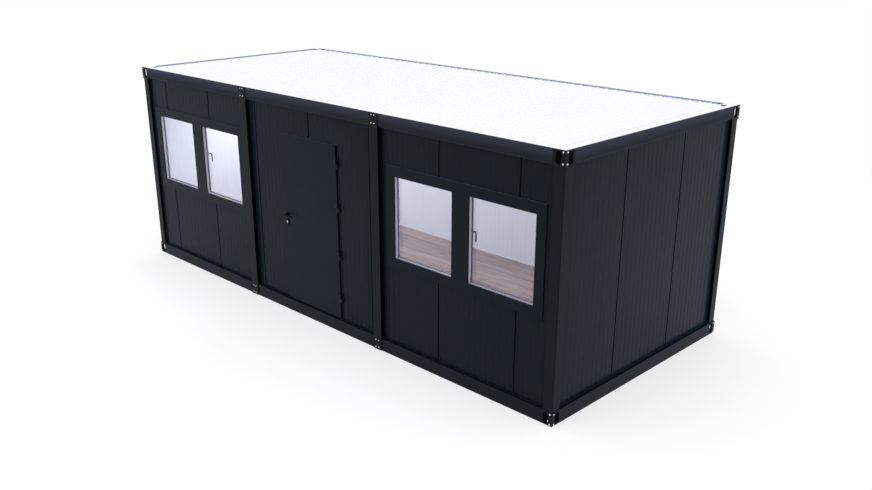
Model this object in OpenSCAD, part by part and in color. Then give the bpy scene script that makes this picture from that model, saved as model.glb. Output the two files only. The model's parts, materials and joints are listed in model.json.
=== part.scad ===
// Portable site cabin: a bolted steel frame with sandwich walls, two pairs of windows and one outward door.
// Millimetres. Origin on the ground at the middle of the plan, +X along the length, front towards -Y, +Z up.

/* [Cabin] */
// Length over the corner blocks
cabin_l = 7000; // [6600:10:9000]
// Width over the corner blocks
cabin_w = 3000; // [2400:10:3400]
// Height over the roof trim
cabin_h = 2600; // [2560:10:2900]

/* [Steel frame] */
// Width of each corner block, both ways
block_w = 140; // [130:1:180]
// Plate thickness of the corner blocks
block_t = 6; // [4:1:10]
// Width of the upright slots in the corner blocks
slot_w = 62; // [40:1:66]
// Height of the upright slots, end to end
slot_h = 120; // [80:1:126]
// Distance of the slots' middle line from the cabin's corner
slot_in = 76; // [70:1:90]
// Diameter of the anchor hole under each bottom block
anchor_d = 60; // [30:1:70]
// Face width of the corner posts
post_w = 115; // [90:1:130]
// Set-back of the corner posts behind the corner blocks
post_inset = 6; // [0:1:15]
// Radius of the corner posts' outer edge
post_edge_r = 14; // [4:1:25]
// Width of the shadow gap under each edge of the posts' faces
post_gap = 36; // [15:1:40]
// Sheet thickness of posts and rails
sheet_t = 4; // [3:0.5:6]
// Height of the base rails
base_rail_h = 140; // [130:1:180]
// Width of the base rails' bottom flange
base_flange = 60; // [40:1:90]
// Height of the roof rails, up to the roof trim
roof_rail_h = 147; // [140:1:180]
// Width of the ledge inside the walls that carries the ceiling
ceiling_ledge = 30; // [20:1:60]
// Width of the intermediate posts
mid_post_w = 125; // [90:1:160]
// How far the intermediate posts stand proud of the rails
mid_post_proud = 10; // [5:1:20]
// Middle of the left intermediate posts, from the cabin's middle
mid_post_left = -1175; // [-1180:1:-1110]
// Middle of the right intermediate posts, from the cabin's middle
mid_post_right = 1120; // [1100:1:1180]

/* [Walls] */
// Set-back of the walls behind the rails
wall_recess = 40; // [30:1:50]
// Thickness of the sandwich panels
wall_t = 60; // [50:1:80]
// Cover width of one panel
panel_w = 1000; // [900:1:1150]
// Width of the joint between two panels
joint_w = 18; // [6:0.5:20]
// Depth of the joint between two panels
joint_d = 20; // [8:1:30]
// Number of fine upright grooves across one panel's outer skin
skin_grooves = 13; // [5:1:20]
// Width of one fine groove
skin_groove_w = 8; // [4:0.5:12]
// Depth of one fine groove
skin_groove_d = 1; // [0.5:0.25:3]

/* [Windows] */
// Height of the clear opening's lower edge above the ground
window_sill = 1115; // [950:1:1200]
// From the clear opening's upper edge to the roof rails
window_from_rail = 469; // [380:1:600]
// From the cabin's end to the first clear opening
window_from_end = 300; // [280:1:360]
// Distance between the two clear openings of a pair
window_gap = 220; // [150:1:260]
// From the right intermediate post to the nearer clear opening
window_from_post = 197.5; // [160:0.5:260]
// Width of the smooth surround outside the clear openings
surround_margin = 110; // [70:1:115]
// Thickness of the surround
surround_t = 12; // [6:1:20]
// Face width of the window frames
window_bar = 50; // [40:1:80]
// Width of the window frames' faces that shows inside the surround
window_show = 5; // [3:1:30]
// Depth of the window frames
window_d = 52; // [50:1:58]
// Thickness of the sealed panes
pane_t = 14; // [10:1:16]
// From the outer face of the frame to the pane
pane_in = 30; // [20:1:32]
// How deep the panes sit in the frames
pane_bite = 14; // [8:1:20]
// Length of the window handles
window_handle_l = 105; // [90:1:150]
// How far the window handles stand off their frames
window_handle_stand = 58; // [20:1:60]
// Height of the window handles' spindle as a share of the clear height
window_handle_share = 0.577; // [0.4:0.001:0.7]

/* [Door] */
// Width of the door leaf
leaf_w = 950; // [800:1:1000]
// Height of the wall strip over the door
over_door_h = 280; // [150:1:400]
// Thickness of the door leaf
leaf_t = 50; // [40:1:60]
// How far the leaf's face stands proud of the wall
leaf_proud = 16; // [14:1:30]
// Clearance round the leaf on its lock side and under it
leaf_gap = 6; // [5:1:10]
// Clearance over the leaf
leaf_top_gap = 6; // [6:1:15]
// Gap beside the leaf on its hinge side
hinge_gap = 25; // [22:1:35]
// Sheet thickness of the door frame
jamb_t = 10; // [6:1:15]
// How far the door frame's face lies behind the leaf's face
jamb_set = 11; // [6:1:13]
// How far the door frame reaches into the room
jamb_lip = 10; // [4:1:20]
// How far the door frame's stop covers the leaf's edge
stop_cover = 13; // [8:1:14]
// Thickness of the threshold strip
threshold_t = 4; // [2:1:6]
// Length of one hinge barrel
hinge_l = 88; // [60:1:110]
// Diameter of the hinge barrels
hinge_d = 20; // [16:1:24]
// Diameter of the hinge pins
hinge_pin_d = 12; // [8:1:13]
// Thickness of the hinge flags
hinge_flag_t = 5; // [4:1:6]
// Length of the hinge flags on the leaf's face
hinge_flag_l = 40; // [25:1:60]
// Distance of the hinges' axis in front of the leaf's face
hinge_out = 7; // [6:0.5:9]
// Height of the lever's spindle above the ground
lever_z = 1205; // [1000:1:1300]
// Backset of the lever's spindle from the leaf's lock edge
lever_backset = 45; // [40:1:80]
// Length of the lever from its spindle to its tip
lever_l = 150; // [110:1:180]
// Diameter of the lever
lever_d = 18; // [14:1:22]
// How far the lever stands off the leaf
lever_stand = 52; // [40:1:65]
// Distance of the lock cylinder below the lever's spindle
lock_drop = 85; // [75:1:120]
// Diameter of the lever's rose
rose_d = 52; // [44:1:60]
// Thickness of rose and lock plate
rose_t = 8; // [5:1:10]

/* [Floor and roof] */
// Height of the floor's surface above the ground
floor_top = 160; // [145:1:200]
// Width of one floor joist
joist_w = 50; // [40:1:80]
// Depth of the floor joists
joist_h = 100; // [70:1:110]
// Number of floor joists
joist_count = 13; // [9:1:17]
// Thickness of the pan under the joists
pan_t = 3; // [2:0.5:5]
// Thickness of the ceiling panel
ceiling_t = 30; // [15:1:60]
// Thickness of the roof trim's sheet
trim_t = 3; // [2:0.5:5]
// Width of the roof trim's top
trim_w = 60; // [45:1:80]
// Height of the roof trim's upstand above the roof sheet's seat
trim_up = 16; // [12:1:40]
// Width of the seat that carries the roof sheet
trim_seat = 50; // [30:1:80]
// Thickness of the roof sheet
roof_t = 2; // [1:0.5:4]
// Height of the roof sheet's ribs
roof_rib_h = 8; // [4:1:15]
// Distance between the roof sheet's ribs
roof_rib_pitch = 119; // [80:1:250]
// Width of a rib's crown
roof_rib_crown = 24; // [15:1:60]
// Height of the drain notches in the roof trim's upstand
drain_h = 10; // [6:1:24]
// Metal left beside each drain notch
drain_side = 12; // [6:1:20]

/* [Hidden] */
$fn = 48;

// Outer planes
end_x = cabin_l / 2;
side_y = cabin_w / 2;
rail_top = cabin_h - trim_t;
rail_low = rail_top - roof_rail_h;
// Wall planes, measured inwards from the rails' faces
wall_in = wall_recess + wall_t;
wall_x = end_x - wall_recess;
wall_y = side_y - wall_recess;
room_x = end_x - wall_in;
room_y = side_y - wall_in;
// A cut runs this far past the faces it opens
past = 1;
// Play of the roof sheet inside its trim
roof_sheet_gap = 2;

// Windows of the right-hand pair as distances of their clear openings' left edges from the middle
window_room = end_x - window_from_end - window_from_post - mid_post_right - mid_post_w / 2;
window_w = (window_room - window_gap) / 2;
window_h = rail_low - window_from_rail - window_sill;
window_outer_x = end_x - window_from_end - window_w;
window_inner_x = window_outer_x - window_gap - window_w;
surround_w = 2 * window_w + window_gap + 2 * surround_margin;
surround_h = window_h + 2 * surround_margin;
frame_grow = window_bar - window_show;
frame_out_y = -wall_y;

// Door: the leaf's edges and faces, and the frame round it
door_set_w = leaf_w + leaf_gap + hinge_gap + 2 * jamb_t;
frame_left = -door_set_w / 2;
frame_right = door_set_w / 2;
leaf_left = frame_left + jamb_t + leaf_gap;
leaf_right = leaf_left + leaf_w;
leaf_low = base_rail_h + threshold_t + leaf_gap;
frame_top = rail_low - over_door_h;
leaf_top = frame_top - jamb_t - leaf_top_gap;
leaf_h = leaf_top - leaf_low;
leaf_out_y = -wall_y - leaf_proud;
leaf_in_y = leaf_out_y + leaf_t;
stop_y = leaf_in_y + leaf_gap;
jamb_out_y = leaf_out_y + jamb_set;
jamb_in_y = -room_y + jamb_lip;
hinge_x = leaf_right + hinge_gap / 2;
hinge_y = leaf_out_y - hinge_out;
hinge_shares = [0.1225, 0.3775, 0.655, 0.9];
hinge_heights = [for (share = hinge_shares) leaf_low + share * leaf_h];
hinge_half = hinge_l / 2;
hinge_split = 0.5;
hinge_pin_clear = 0.1;
lever_x = leaf_left + lever_backset;
lock_z = lever_z - lock_drop;
spindle_d = 10;
spindle_clear = 1;
neck_clear = 0.5;
lock_d = 17;
lock_tail_w = 10;
lock_tail_h = 24;
lock_clear = 0.3;
lock_proud = 6;
lock_plate_w = 44;
lock_plate_h = 80;

// Colours as they show
steel_colour = [0.16, 0.17, 0.18];
panel_colour = [0.15, 0.17, 0.19];
smooth_colour = [0.13, 0.14, 0.16];
white_colour = [0.93, 0.93, 0.94];
floor_colour = [0.55, 0.48, 0.43];
zinc_colour = [0.70, 0.71, 0.72];
black_colour = [0.05, 0.05, 0.05];
glass_colour = [0.75, 0.82, 0.85, 0.4];

// Repeats its children at the four corners, mirrored so that the outer corner stays outside
module at_corners() {
    for (sx = [0, 1], sy = [0, 1])
        mirror([sx, 0, 0]) mirror([0, sy, 0]) translate([-end_x, -side_y, 0]) children();
}

// A box from its low corner to its high corner
module box(low, high) {
    translate(low) cube([high[0] - low[0], high[1] - low[1], high[2] - low[2]]);
}

// Room for the corner blocks in what lies between them, from one height to another
module block_notches(low, high) {
    at_corners() translate([-past, -past, low]) cube([block_w + past, block_w + past, high - low]);
}

// A folded corner post's section: two faces that meet in a rounded outer edge, and a leg behind each face
// that closes against the wall and leaves a shadow gap under the face's edge
module post_section() {
    depth = wall_recess - post_inset;
    width = post_w - post_inset;
    r = min(post_edge_r, depth - sheet_t);
    hollow = width - post_gap - 2 * sheet_t - r;
    difference() {
        union() {
            translate([r, 0]) square([width - r, depth]);
            translate([0, r]) square([depth, width - r]);
            translate([r, r]) circle(r);
        }
        translate([sheet_t, sheet_t + r]) square([depth, hollow]);
        translate([sheet_t + r, sheet_t]) square([hollow, depth]);
        translate([r, r]) circle(max(r - sheet_t, 1));
        translate([sheet_t, width - post_gap]) square([depth, post_gap + past]);
        translate([width - post_gap, sheet_t]) square([post_gap + past, depth]);
    }
}

// An upright slot with round ends, cut along the given run from the origin
module slot_cut(run) {
    reach = (slot_h - slot_w) / 2;
    rotate([-90, 0, 0]) linear_extrude(run) {
        for (s = [-1, 1]) translate([0, s * reach]) circle(d = slot_w);
        square([slot_w, 2 * reach], center = true);
    }
}

// A hollow corner block with a slot in each outer face, in the corner's own quadrant
module corner_block(height, anchor) {
    inner = block_w - 2 * block_t;
    difference() {
        cube([block_w, block_w, height]);
        translate([block_t, block_t, block_t]) cube([inner, inner, height - 2 * block_t]);
        translate([slot_in, -past, height / 2]) slot_cut(block_t + 2 * past);
        translate([-past, slot_in, height / 2]) rotate([0, 0, -90]) slot_cut(block_t + 2 * past);
        if (anchor)
            translate([slot_in, slot_in, -past]) cylinder(d = anchor_d, h = block_t + 2 * past);
    }
}

// The base rail's section: x is the depth behind the rail's face, y is the height. The face stands in front
// of an open trough, whose inner web carries the ledge under the wall
module base_section() {
    web = wall_recess - sheet_t;
    square([sheet_t, base_rail_h]);
    square([base_flange, sheet_t]);
    translate([web, 0]) square([sheet_t, base_rail_h]);
    translate([web, base_rail_h - sheet_t]) square([wall_in - web, sheet_t]);
}

// A box section whose outer lower edge is rounded
module soft_section(depth, height, r) {
    translate([r, 0]) square([depth - r, height]);
    translate([0, r]) square([r, height - r]);
    translate([r, r]) circle(r);
}

// The roof rail's section: the face turns in to the wall in one soft bend, and a ledge carries the ceiling
module roof_section() {
    depth = wall_in + ceiling_ledge;
    difference() {
        soft_section(depth, roof_rail_h, wall_recess);
        translate([sheet_t, sheet_t])
            soft_section(depth, roof_rail_h - 2 * sheet_t, wall_recess - sheet_t);
        translate([trim_w - trim_t, roof_rail_h - sheet_t - past]) square([depth, sheet_t + 2 * past]);
    }
}

// Runs a rail's section along the front, from block to block
module long_rail() {
    translate([-end_x + block_w, -side_y, 0]) rotate([90, 0, 90])
        linear_extrude(cabin_l - 2 * block_w) children();
}

// Runs a rail's section along the left end, from block to block
module end_rail() {
    translate([-end_x, side_y - block_w, 0]) rotate([90, 0, 0])
        linear_extrude(cabin_w - 2 * block_w) children();
}

module corner_posts() {
    color(steel_colour) translate([0, 0, base_rail_h]) at_corners()
        translate([post_inset, post_inset, 0]) linear_extrude(rail_low - base_rail_h) post_section();
}

module bottom_corner_blocks() {
    color(steel_colour) at_corners() corner_block(base_rail_h, true);
}

module top_corner_blocks() {
    color(steel_colour) translate([0, 0, rail_low]) at_corners() corner_block(roof_rail_h, false);
}

module base_rail_front() {
    color(steel_colour) long_rail() base_section();
}

module base_rail_back() {
    color(steel_colour) mirror([0, 1, 0]) long_rail() base_section();
}

module base_rails_end() {
    color(steel_colour) for (s = [0, 1]) mirror([s, 0, 0]) end_rail() base_section();
}

module roof_rail_front() {
    color(steel_colour) translate([0, 0, rail_low]) long_rail() roof_section();
}

module roof_rail_back() {
    color(steel_colour) translate([0, 0, rail_low]) mirror([0, 1, 0]) long_rail() roof_section();
}

module roof_rails_end() {
    color(steel_colour) translate([0, 0, rail_low])
        for (s = [0, 1]) mirror([s, 0, 0]) end_rail() roof_section();
}

// A folded intermediate post on the front: its face laps both rails, and the two webs behind it close
// against the wall and leave a shadow gap under the face's edges
module mid_post() {
    half = mid_post_w / 2;
    web = half - post_gap;
    face = -side_y - mid_post_proud;
    box([-half, face, 0], [half, face + sheet_t, rail_top]);
    for (s = [0, 1]) mirror([s, 0, 0]) {
        box([web - sheet_t, face, 0], [web, -side_y, rail_top]);
        box([web - sheet_t, face, base_rail_h], [web, -wall_y, rail_low]);
    }
}

module front_posts() {
    color(steel_colour) for (x = [mid_post_left, mid_post_right]) translate([x, 0, 0]) mid_post();
}

module back_posts() {
    color(steel_colour) mirror([0, 1, 0])
        for (x = [mid_post_left, mid_post_right]) translate([x, 0, 0]) mid_post();
}

module floor_joists() {
    deck_low = base_rail_h - sheet_t;
    first = -end_x + block_w + joist_w;
    step = -2 * first / (joist_count - 1);
    color(zinc_colour) for (i = [0 : joist_count - 1])
        translate([first + i * step - joist_w / 2, -wall_y, deck_low - joist_h])
            cube([joist_w, 2 * wall_y, joist_h]);
}

module floor_pan() {
    low = base_rail_h - sheet_t - joist_h - pan_t;
    color(zinc_colour) box([-end_x + block_w, -wall_y, low], [end_x - block_w, wall_y, low + pan_t]);
}

module floor_deck() {
    color(floor_colour) difference() {
        box([-room_x, -room_y, base_rail_h - sheet_t], [room_x, room_y, floor_top]);
        block_notches(base_rail_h - sheet_t - past, base_rail_h);
    }
}

// The outer skin's notch at a place along the wall: a joint between panels, or a fine groove
function skin_joint(x) = let (h = joint_w / 2) [[x - h, 0], [x - h, joint_d], [x + h, joint_d], [x + h, 0]];
function skin_groove(x) = let (h = skin_groove_w / 2) [[x - h, 0], [x, skin_groove_d], [x + h, 0]];

// A stretch of wall in plan: x along the wall, y the depth behind its outer face. The skin is divided in
// half steps of its grooves: odd steps carry a groove, and each whole panel from the phase carries a joint
module wall_plan(from, to, phase) {
    step = panel_w / skin_grooves / 2;
    first = ceil((from + skin_groove_w - phase) / step);
    last = floor((to - skin_groove_w - phase) / step);
    skin = [for (i = [first : last]) let (x = phase + i * step)
                each i % 2 != 0 ? skin_groove(x) : i % (2 * skin_grooves) == 0 ? skin_joint(x) : []];
    polygon(concat([[from, wall_t], [from, 0]], skin, [[to, 0], [to, wall_t]]));
}

// A stretch of the front wall, from a height up to the roof rail
module front_wall(from, to, low) {
    translate([0, -wall_y, low]) linear_extrude(rail_low - low) wall_plan(from, to, 0);
}

// Openings in the front wall for one pair of window frames
module window_cuts(depth_from, depth_to, grow) {
    for (x = [window_outer_x, window_inner_x])
        box([x - grow, depth_from, window_sill - grow],
            [x + window_w + grow, depth_to, window_sill + window_h + grow]);
}

module front_wall_left() {
    color(panel_colour) difference() {
        front_wall(-wall_x, mid_post_left, base_rail_h);
        mirror([1, 0, 0]) window_cuts(-wall_y - past, -room_y + past, frame_grow);
    }
}

module front_wall_right() {
    color(panel_colour) difference() {
        front_wall(mid_post_right, wall_x, base_rail_h);
        window_cuts(-wall_y - past, -room_y + past, frame_grow);
    }
}

module front_wall_door_left() {
    color(panel_colour) front_wall(mid_post_left, frame_left, base_rail_h);
}

module front_wall_door_right() {
    color(panel_colour) front_wall(frame_right, mid_post_right, base_rail_h);
}

module front_wall_over_door() {
    color(panel_colour) front_wall(frame_left, frame_right, frame_top);
}

module back_wall() {
    color(panel_colour) mirror([0, 1, 0]) front_wall(-wall_x, wall_x, base_rail_h);
}

// The left end wall, butted between the front and back walls
module end_wall() {
    translate([-wall_x, 0, base_rail_h]) rotate([0, 0, -90]) linear_extrude(rail_low - base_rail_h)
        wall_plan(-room_y, room_y, panel_w / 2);
}

module end_wall_left() {
    color(panel_colour) end_wall();
}

module end_wall_right() {
    color(panel_colour) mirror([1, 0, 0]) end_wall();
}

// The smooth surround of the right-hand pair of windows
module window_surround() {
    left = window_inner_x - surround_margin;
    low = window_sill - surround_margin;
    difference() {
        box([left, -wall_y - surround_t, low], [left + surround_w, -wall_y, low + surround_h]);
        window_cuts(-wall_y - surround_t - past, -wall_y + past, 0);
    }
}

module window_surround_left() {
    color(smooth_colour) mirror([1, 0, 0]) window_surround();
}

module window_surround_right() {
    color(smooth_colour) window_surround();
}

// The two window frames of the right-hand pair, grooved for their panes
module window_frames() {
    difference() {
        window_cuts(frame_out_y, frame_out_y + window_d, frame_grow);
        window_cuts(frame_out_y - past, frame_out_y + window_d + past, -window_show);
        window_cuts(frame_out_y + pane_in, frame_out_y + pane_in + pane_t, pane_bite - window_show);
    }
}

module window_frames_left() {
    color(white_colour) mirror([1, 0, 0]) window_frames();
}

module window_frames_right() {
    color(white_colour) window_frames();
}

module window_panes() {
    color(glass_colour) for (s = [0, 1]) mirror([s, 0, 0])
        window_cuts(frame_out_y + pane_in, frame_out_y + pane_in + pane_t, pane_bite - window_show);
}

// A window handle on the room side of a frame's left bar: base plate, neck, bend and hanging grip
module window_handle(x) {
    plate_w = 28;
    plate_h = 66;
    plate_t = 8;
    plate_edge = 2;
    grip_d = 14;
    middle = x + window_show - plate_edge - plate_w / 2;
    translate([middle, frame_out_y + window_d, window_sill + window_handle_share * window_h]) {
        translate([-plate_w / 2, 0, -plate_h / 2]) cube([plate_w, plate_t, plate_h]);
        rotate([-90, 0, 0]) cylinder(d = grip_d, h = window_handle_stand);
        translate([0, window_handle_stand, 0]) sphere(d = grip_d);
        translate([0, window_handle_stand, -window_handle_l]) {
            cylinder(d = grip_d, h = window_handle_l);
            sphere(d = grip_d);
        }
    }
}

module window_handles() {
    color(black_colour) for (x = [window_outer_x, -window_inner_x - window_w]) window_handle(x);
}

module door_frame() {
    head = leaf_top + leaf_top_gap;
    color(smooth_colour) difference() {
        box([frame_left, jamb_out_y, base_rail_h], [frame_right, jamb_in_y, frame_top]);
        box([frame_left + jamb_t, jamb_out_y - past, base_rail_h - past],
            [frame_right - jamb_t, stop_y, head]);
        box([leaf_left + stop_cover, jamb_out_y - past, base_rail_h - past],
            [leaf_right - stop_cover, jamb_in_y + past, leaf_top - stop_cover]);
        box([frame_left - past, -room_y, base_rail_h - past],
            [frame_right + past, jamb_in_y + past, floor_top]);
    }
}

module door_threshold() {
    color(zinc_colour) box([frame_left + jamb_t, -wall_y, base_rail_h],
                           [frame_right - jamb_t, stop_y, base_rail_h + threshold_t]);
}

module door_leaf() {
    color(smooth_colour) difference() {
        box([leaf_left, leaf_out_y, leaf_low], [leaf_right, leaf_in_y, leaf_top]);
        translate([lever_x, leaf_out_y - past, lever_z]) rotate([-90, 0, 0])
            cylinder(d = spindle_d + 2 * spindle_clear, h = leaf_t + 2 * past);
        lock_body(leaf_out_y - past, leaf_in_y + past, lock_clear);
    }
}

// The fixed hinge halves: lower barrel with its pin, and the flag that seats on the jamb
module hinge_pins() {
    color(zinc_colour) for (z = hinge_heights) translate([hinge_x, hinge_y, z - hinge_half]) {
        cylinder(d = hinge_d, h = hinge_half - hinge_split);
        cylinder(d = hinge_pin_d, h = hinge_l - hinge_split);
        box([0, hinge_flag_t - hinge_d / 2, 0],
            [frame_right - hinge_x, jamb_out_y - hinge_y, hinge_half - hinge_split]);
    }
}

// The moving hinge halves: upper barrel, and the flag on the leaf's face
module hinge_knuckles() {
    color(zinc_colour) for (z = hinge_heights) translate([hinge_x, hinge_y, z + hinge_split]) {
        difference() {
            union() {
                cylinder(d = hinge_d, h = hinge_half);
                box([leaf_right - hinge_x - hinge_flag_l, leaf_out_y - hinge_y - hinge_flag_t, 0],
                    [0, leaf_out_y - hinge_y, hinge_half - hinge_split]);
            }
            translate([0, 0, -past])
                cylinder(d = hinge_pin_d + 2 * hinge_pin_clear, h = hinge_half + 2 * past);
        }
    }
}

// The lock cylinder's keyed outline, run between two depths and grown by a clearance
module lock_body(from, to, grow) {
    translate([lever_x, to, lock_z]) rotate([90, 0, 0]) linear_extrude(to - from) {
        circle(d = lock_d + 2 * grow);
        translate([-lock_tail_w / 2 - grow, -lock_tail_h - grow])
            square([lock_tail_w + 2 * grow, lock_tail_h]);
    }
}

// A rose and a lock plate on the leaf's outer face
module plate_pair() {
    reach = (lock_plate_h - lock_plate_w) / 2;
    difference() {
        union() {
            translate([lever_x, leaf_out_y, lever_z]) rotate([90, 0, 0]) cylinder(d = rose_d, h = rose_t);
            translate([lever_x, leaf_out_y, lock_z - lock_tail_h / 4]) rotate([90, 0, 0])
                linear_extrude(rose_t) {
                    for (s = [-1, 1]) translate([0, s * reach]) circle(d = lock_plate_w);
                    square([lock_plate_w, 2 * reach], center = true);
                }
        }
        translate([lever_x, leaf_out_y + past, lever_z]) rotate([90, 0, 0])
            cylinder(d = lever_d + 2 * neck_clear, h = rose_t + 2 * past);
        lock_body(leaf_out_y - rose_t - past, leaf_out_y + past, lock_clear);
    }
}

// Turns an outer fitting of the leaf into its inner twin
module both_faces() {
    middle = leaf_out_y + leaf_t / 2;
    children();
    translate([0, 2 * middle, 0]) mirror([0, 1, 0]) children();
}

module lock_plates() {
    color(black_colour) both_faces() plate_pair();
}

module lock_cylinder() {
    color(zinc_colour)
        lock_body(leaf_out_y - rose_t - lock_proud, leaf_in_y + rose_t + lock_proud, 0);
}

// One grip of the lever: neck, bend and arm
module lever_grip() {
    tip = lever_l - lever_d / 2;
    translate([lever_x, leaf_out_y, lever_z]) {
        translate([0, -neck_clear, 0]) rotate([90, 0, 0])
            cylinder(d = lever_d, h = lever_stand - neck_clear);
        translate([0, -lever_stand, 0]) {
            sphere(d = lever_d);
            rotate([0, 90, 0]) cylinder(d = lever_d, h = tip);
            translate([tip, 0, 0]) sphere(d = lever_d);
        }
    }
}

module door_lever() {
    color(black_colour) {
        both_faces() lever_grip();
        translate([lever_x, leaf_out_y - rose_t, lever_z]) rotate([-90, 0, 0])
            cylinder(d = spindle_d, h = leaf_t + 2 * rose_t);
    }
}

module ceiling() {
    low = rail_low + sheet_t;
    color(white_colour) difference() {
        box([-room_x, -room_y, low], [room_x, room_y, low + ceiling_t]);
        block_notches(low - past, low + ceiling_t + past);
    }
}

// The roof's field inside the trim in plan, less the corner blocks, drawn in by a further inset
module roof_field(inset) {
    margin = trim_w + inset;
    corner = block_w + trim_t + inset;
    difference() {
        square([cabin_l - 2 * margin, cabin_w - 2 * margin], center = true);
        for (sx = [-1, 1], sy = [-1, 1])
            translate([sx * end_x, sy * side_y]) square(2 * corner, center = true);
    }
}

// A drain notch in the roof trim's upstand beside a corner block, in the corner's own quadrant
module drain_notch() {
    drain_w = block_w + trim_t - trim_w - 2 * drain_side;
    translate([block_w - past, trim_w + drain_side, rail_top - trim_up])
        cube([trim_t + 2 * past, drain_w, drain_h]);
}

module roof_trim() {
    seat = rail_top - trim_up;
    color(white_colour) {
        translate([0, 0, rail_top]) linear_extrude(trim_t) difference() {
            square([cabin_l, cabin_w], center = true);
            roof_field(0);
        }
        difference() {
            translate([0, 0, seat]) linear_extrude(trim_up) difference() {
                roof_field(-trim_t);
                roof_field(0);
            }
            at_corners() {
                drain_notch();
                mirror([1, -1, 0]) drain_notch();
            }
        }
        translate([0, 0, seat - trim_t]) linear_extrude(trim_t) difference() {
            roof_field(-trim_t);
            roof_field(trim_seat);
        }
    }
}

// The roof sheet's section: flat pans with raised ribs, the same thickness throughout
module roof_profile(half) {
    slope = roof_rib_h;
    count = floor((2 * half - 2 * roof_rib_pitch) / roof_rib_pitch);
    first = -count * roof_rib_pitch / 2;
    path = [[-half, 0],
            for (i = [0 : count]) let (x = first + i * roof_rib_pitch, c = roof_rib_crown / 2)
                each [[x - c - slope, 0], [x - c, roof_rib_h], [x + c, roof_rib_h], [x + c + slope, 0]],
            [half, 0]];
    last = len(path) - 1;
    polygon(concat(path, [for (i = [last : -1 : 0]) path[i] + [0, roof_t]]));
}

module roof_sheet() {
    height = roof_rib_h + roof_t;
    color(white_colour) translate([0, 0, rail_top - trim_up]) intersection() {
        translate([0, side_y, 0]) rotate([90, 0, 0])
            linear_extrude(cabin_w) roof_profile(end_x);
        linear_extrude(height) roof_field(roof_sheet_gap);
    }
}

corner_posts();
bottom_corner_blocks();
top_corner_blocks();
base_rail_front();
base_rail_back();
base_rails_end();
roof_rail_front();
roof_rail_back();
roof_rails_end();
front_posts();
back_posts();
floor_joists();
floor_pan();
floor_deck();
front_wall_left();
front_wall_door_left();
front_wall_door_right();
front_wall_over_door();
front_wall_right();
back_wall();
end_wall_left();
end_wall_right();
window_surround_left();
window_surround_right();
window_frames_left();
window_frames_right();
window_panes();
window_handles();
door_frame();
door_threshold();
hinge_pins();
ceiling();
roof_sheet();
roof_trim();
door_leaf();
hinge_knuckles();
lock_plates();
lock_cylinder();
door_lever();
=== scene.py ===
"""Looks of the portable site cabin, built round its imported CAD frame.

Metres in the CAD frame: origin on the ground at the middle of the plan, +X along the length, front towards
-Y, +Z up.
"""

import json
import logging
import math
from dataclasses import dataclass
from enum import Enum
from itertools import product
from typing import Any, Callable, Optional, Union

import bmesh
import bpy
import numpy as np
from mathutils import Matrix, Vector


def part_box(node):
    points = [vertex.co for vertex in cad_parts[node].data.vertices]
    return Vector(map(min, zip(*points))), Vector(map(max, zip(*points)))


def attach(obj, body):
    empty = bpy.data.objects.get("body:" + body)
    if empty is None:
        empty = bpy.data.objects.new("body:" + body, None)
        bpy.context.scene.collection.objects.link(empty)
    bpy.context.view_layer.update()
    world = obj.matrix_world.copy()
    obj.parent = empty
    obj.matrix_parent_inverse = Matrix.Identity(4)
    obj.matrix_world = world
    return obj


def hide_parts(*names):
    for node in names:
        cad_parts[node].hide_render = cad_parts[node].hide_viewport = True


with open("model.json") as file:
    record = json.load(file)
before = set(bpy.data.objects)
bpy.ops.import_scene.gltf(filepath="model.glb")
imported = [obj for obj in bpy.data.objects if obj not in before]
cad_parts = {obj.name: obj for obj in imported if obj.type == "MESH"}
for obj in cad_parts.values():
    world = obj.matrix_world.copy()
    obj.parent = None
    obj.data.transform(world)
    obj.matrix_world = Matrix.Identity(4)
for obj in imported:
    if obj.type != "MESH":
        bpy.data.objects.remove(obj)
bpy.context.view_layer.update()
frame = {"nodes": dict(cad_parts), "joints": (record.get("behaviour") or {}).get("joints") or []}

LOG = logging.getLogger("cabin")

Array = np.ndarray
Colour = tuple[float, float, float]
Point = tuple[float, float, float]
Pairs = tuple[tuple[float, float], ...]

# Directions, and places that the frame gives
TO_RIGHT, TO_BACK, UP = np.eye(3)
BOTH_WAYS = (-1.0, 1.0)
QUARTER = math.pi / 2
WALL_LOW, WALL_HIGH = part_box("back_wall")
BLOCK_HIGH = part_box("bottom_corner_blocks")[1]
POST_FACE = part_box("back_posts")[1].y
POST_MIDDLES = (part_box("front_wall_left")[1].x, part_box("front_wall_right")[0].x)
WINDOW_LOW, WINDOW_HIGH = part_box("window_frames_left")
PANE_LOW, PANE_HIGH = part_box("window_panes")
LEAF_LOW, LEAF_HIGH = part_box("door_leaf")
LOCK_LOW, LOCK_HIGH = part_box("lock_cylinder")
SILL_LOW, SILL_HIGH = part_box("door_threshold")
ROOF_LOW, ROOF_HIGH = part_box("roof_sheet")
DECK_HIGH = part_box("floor_deck")[1]
DOOR_FRAME_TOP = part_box("door_frame")[1].z
JOINT_PLACES = {joint["name"]: Vector(joint["pos_m"]) for joint in frame["joints"]}


# Named choices
class Body(Enum):
    """The bodies that a piece can ride on."""

    CABIN = "cabin"
    DOOR = "door"
    LEVER = "lever"


class Slot(Enum):
    """The record's material slots."""

    FRAME_STEEL = "frame_steel"
    WALL_PANEL = "wall_panel"
    SMOOTH_TRIM = "smooth_trim"
    WHITE_METAL = "white_metal"
    WINDOW_PLASTIC = "window_plastic"
    WINDOW_GLASS = "window_glass"
    FLOOR_LAMINATE = "floor_laminate"
    ZINC_STEEL = "zinc_steel"
    HINGE_STEEL = "hinge_steel"
    BLACK_PLASTIC = "black_plastic"
    LOCK_METAL = "lock_metal"
    CEILING_WHITE = "ceiling_white"


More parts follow.
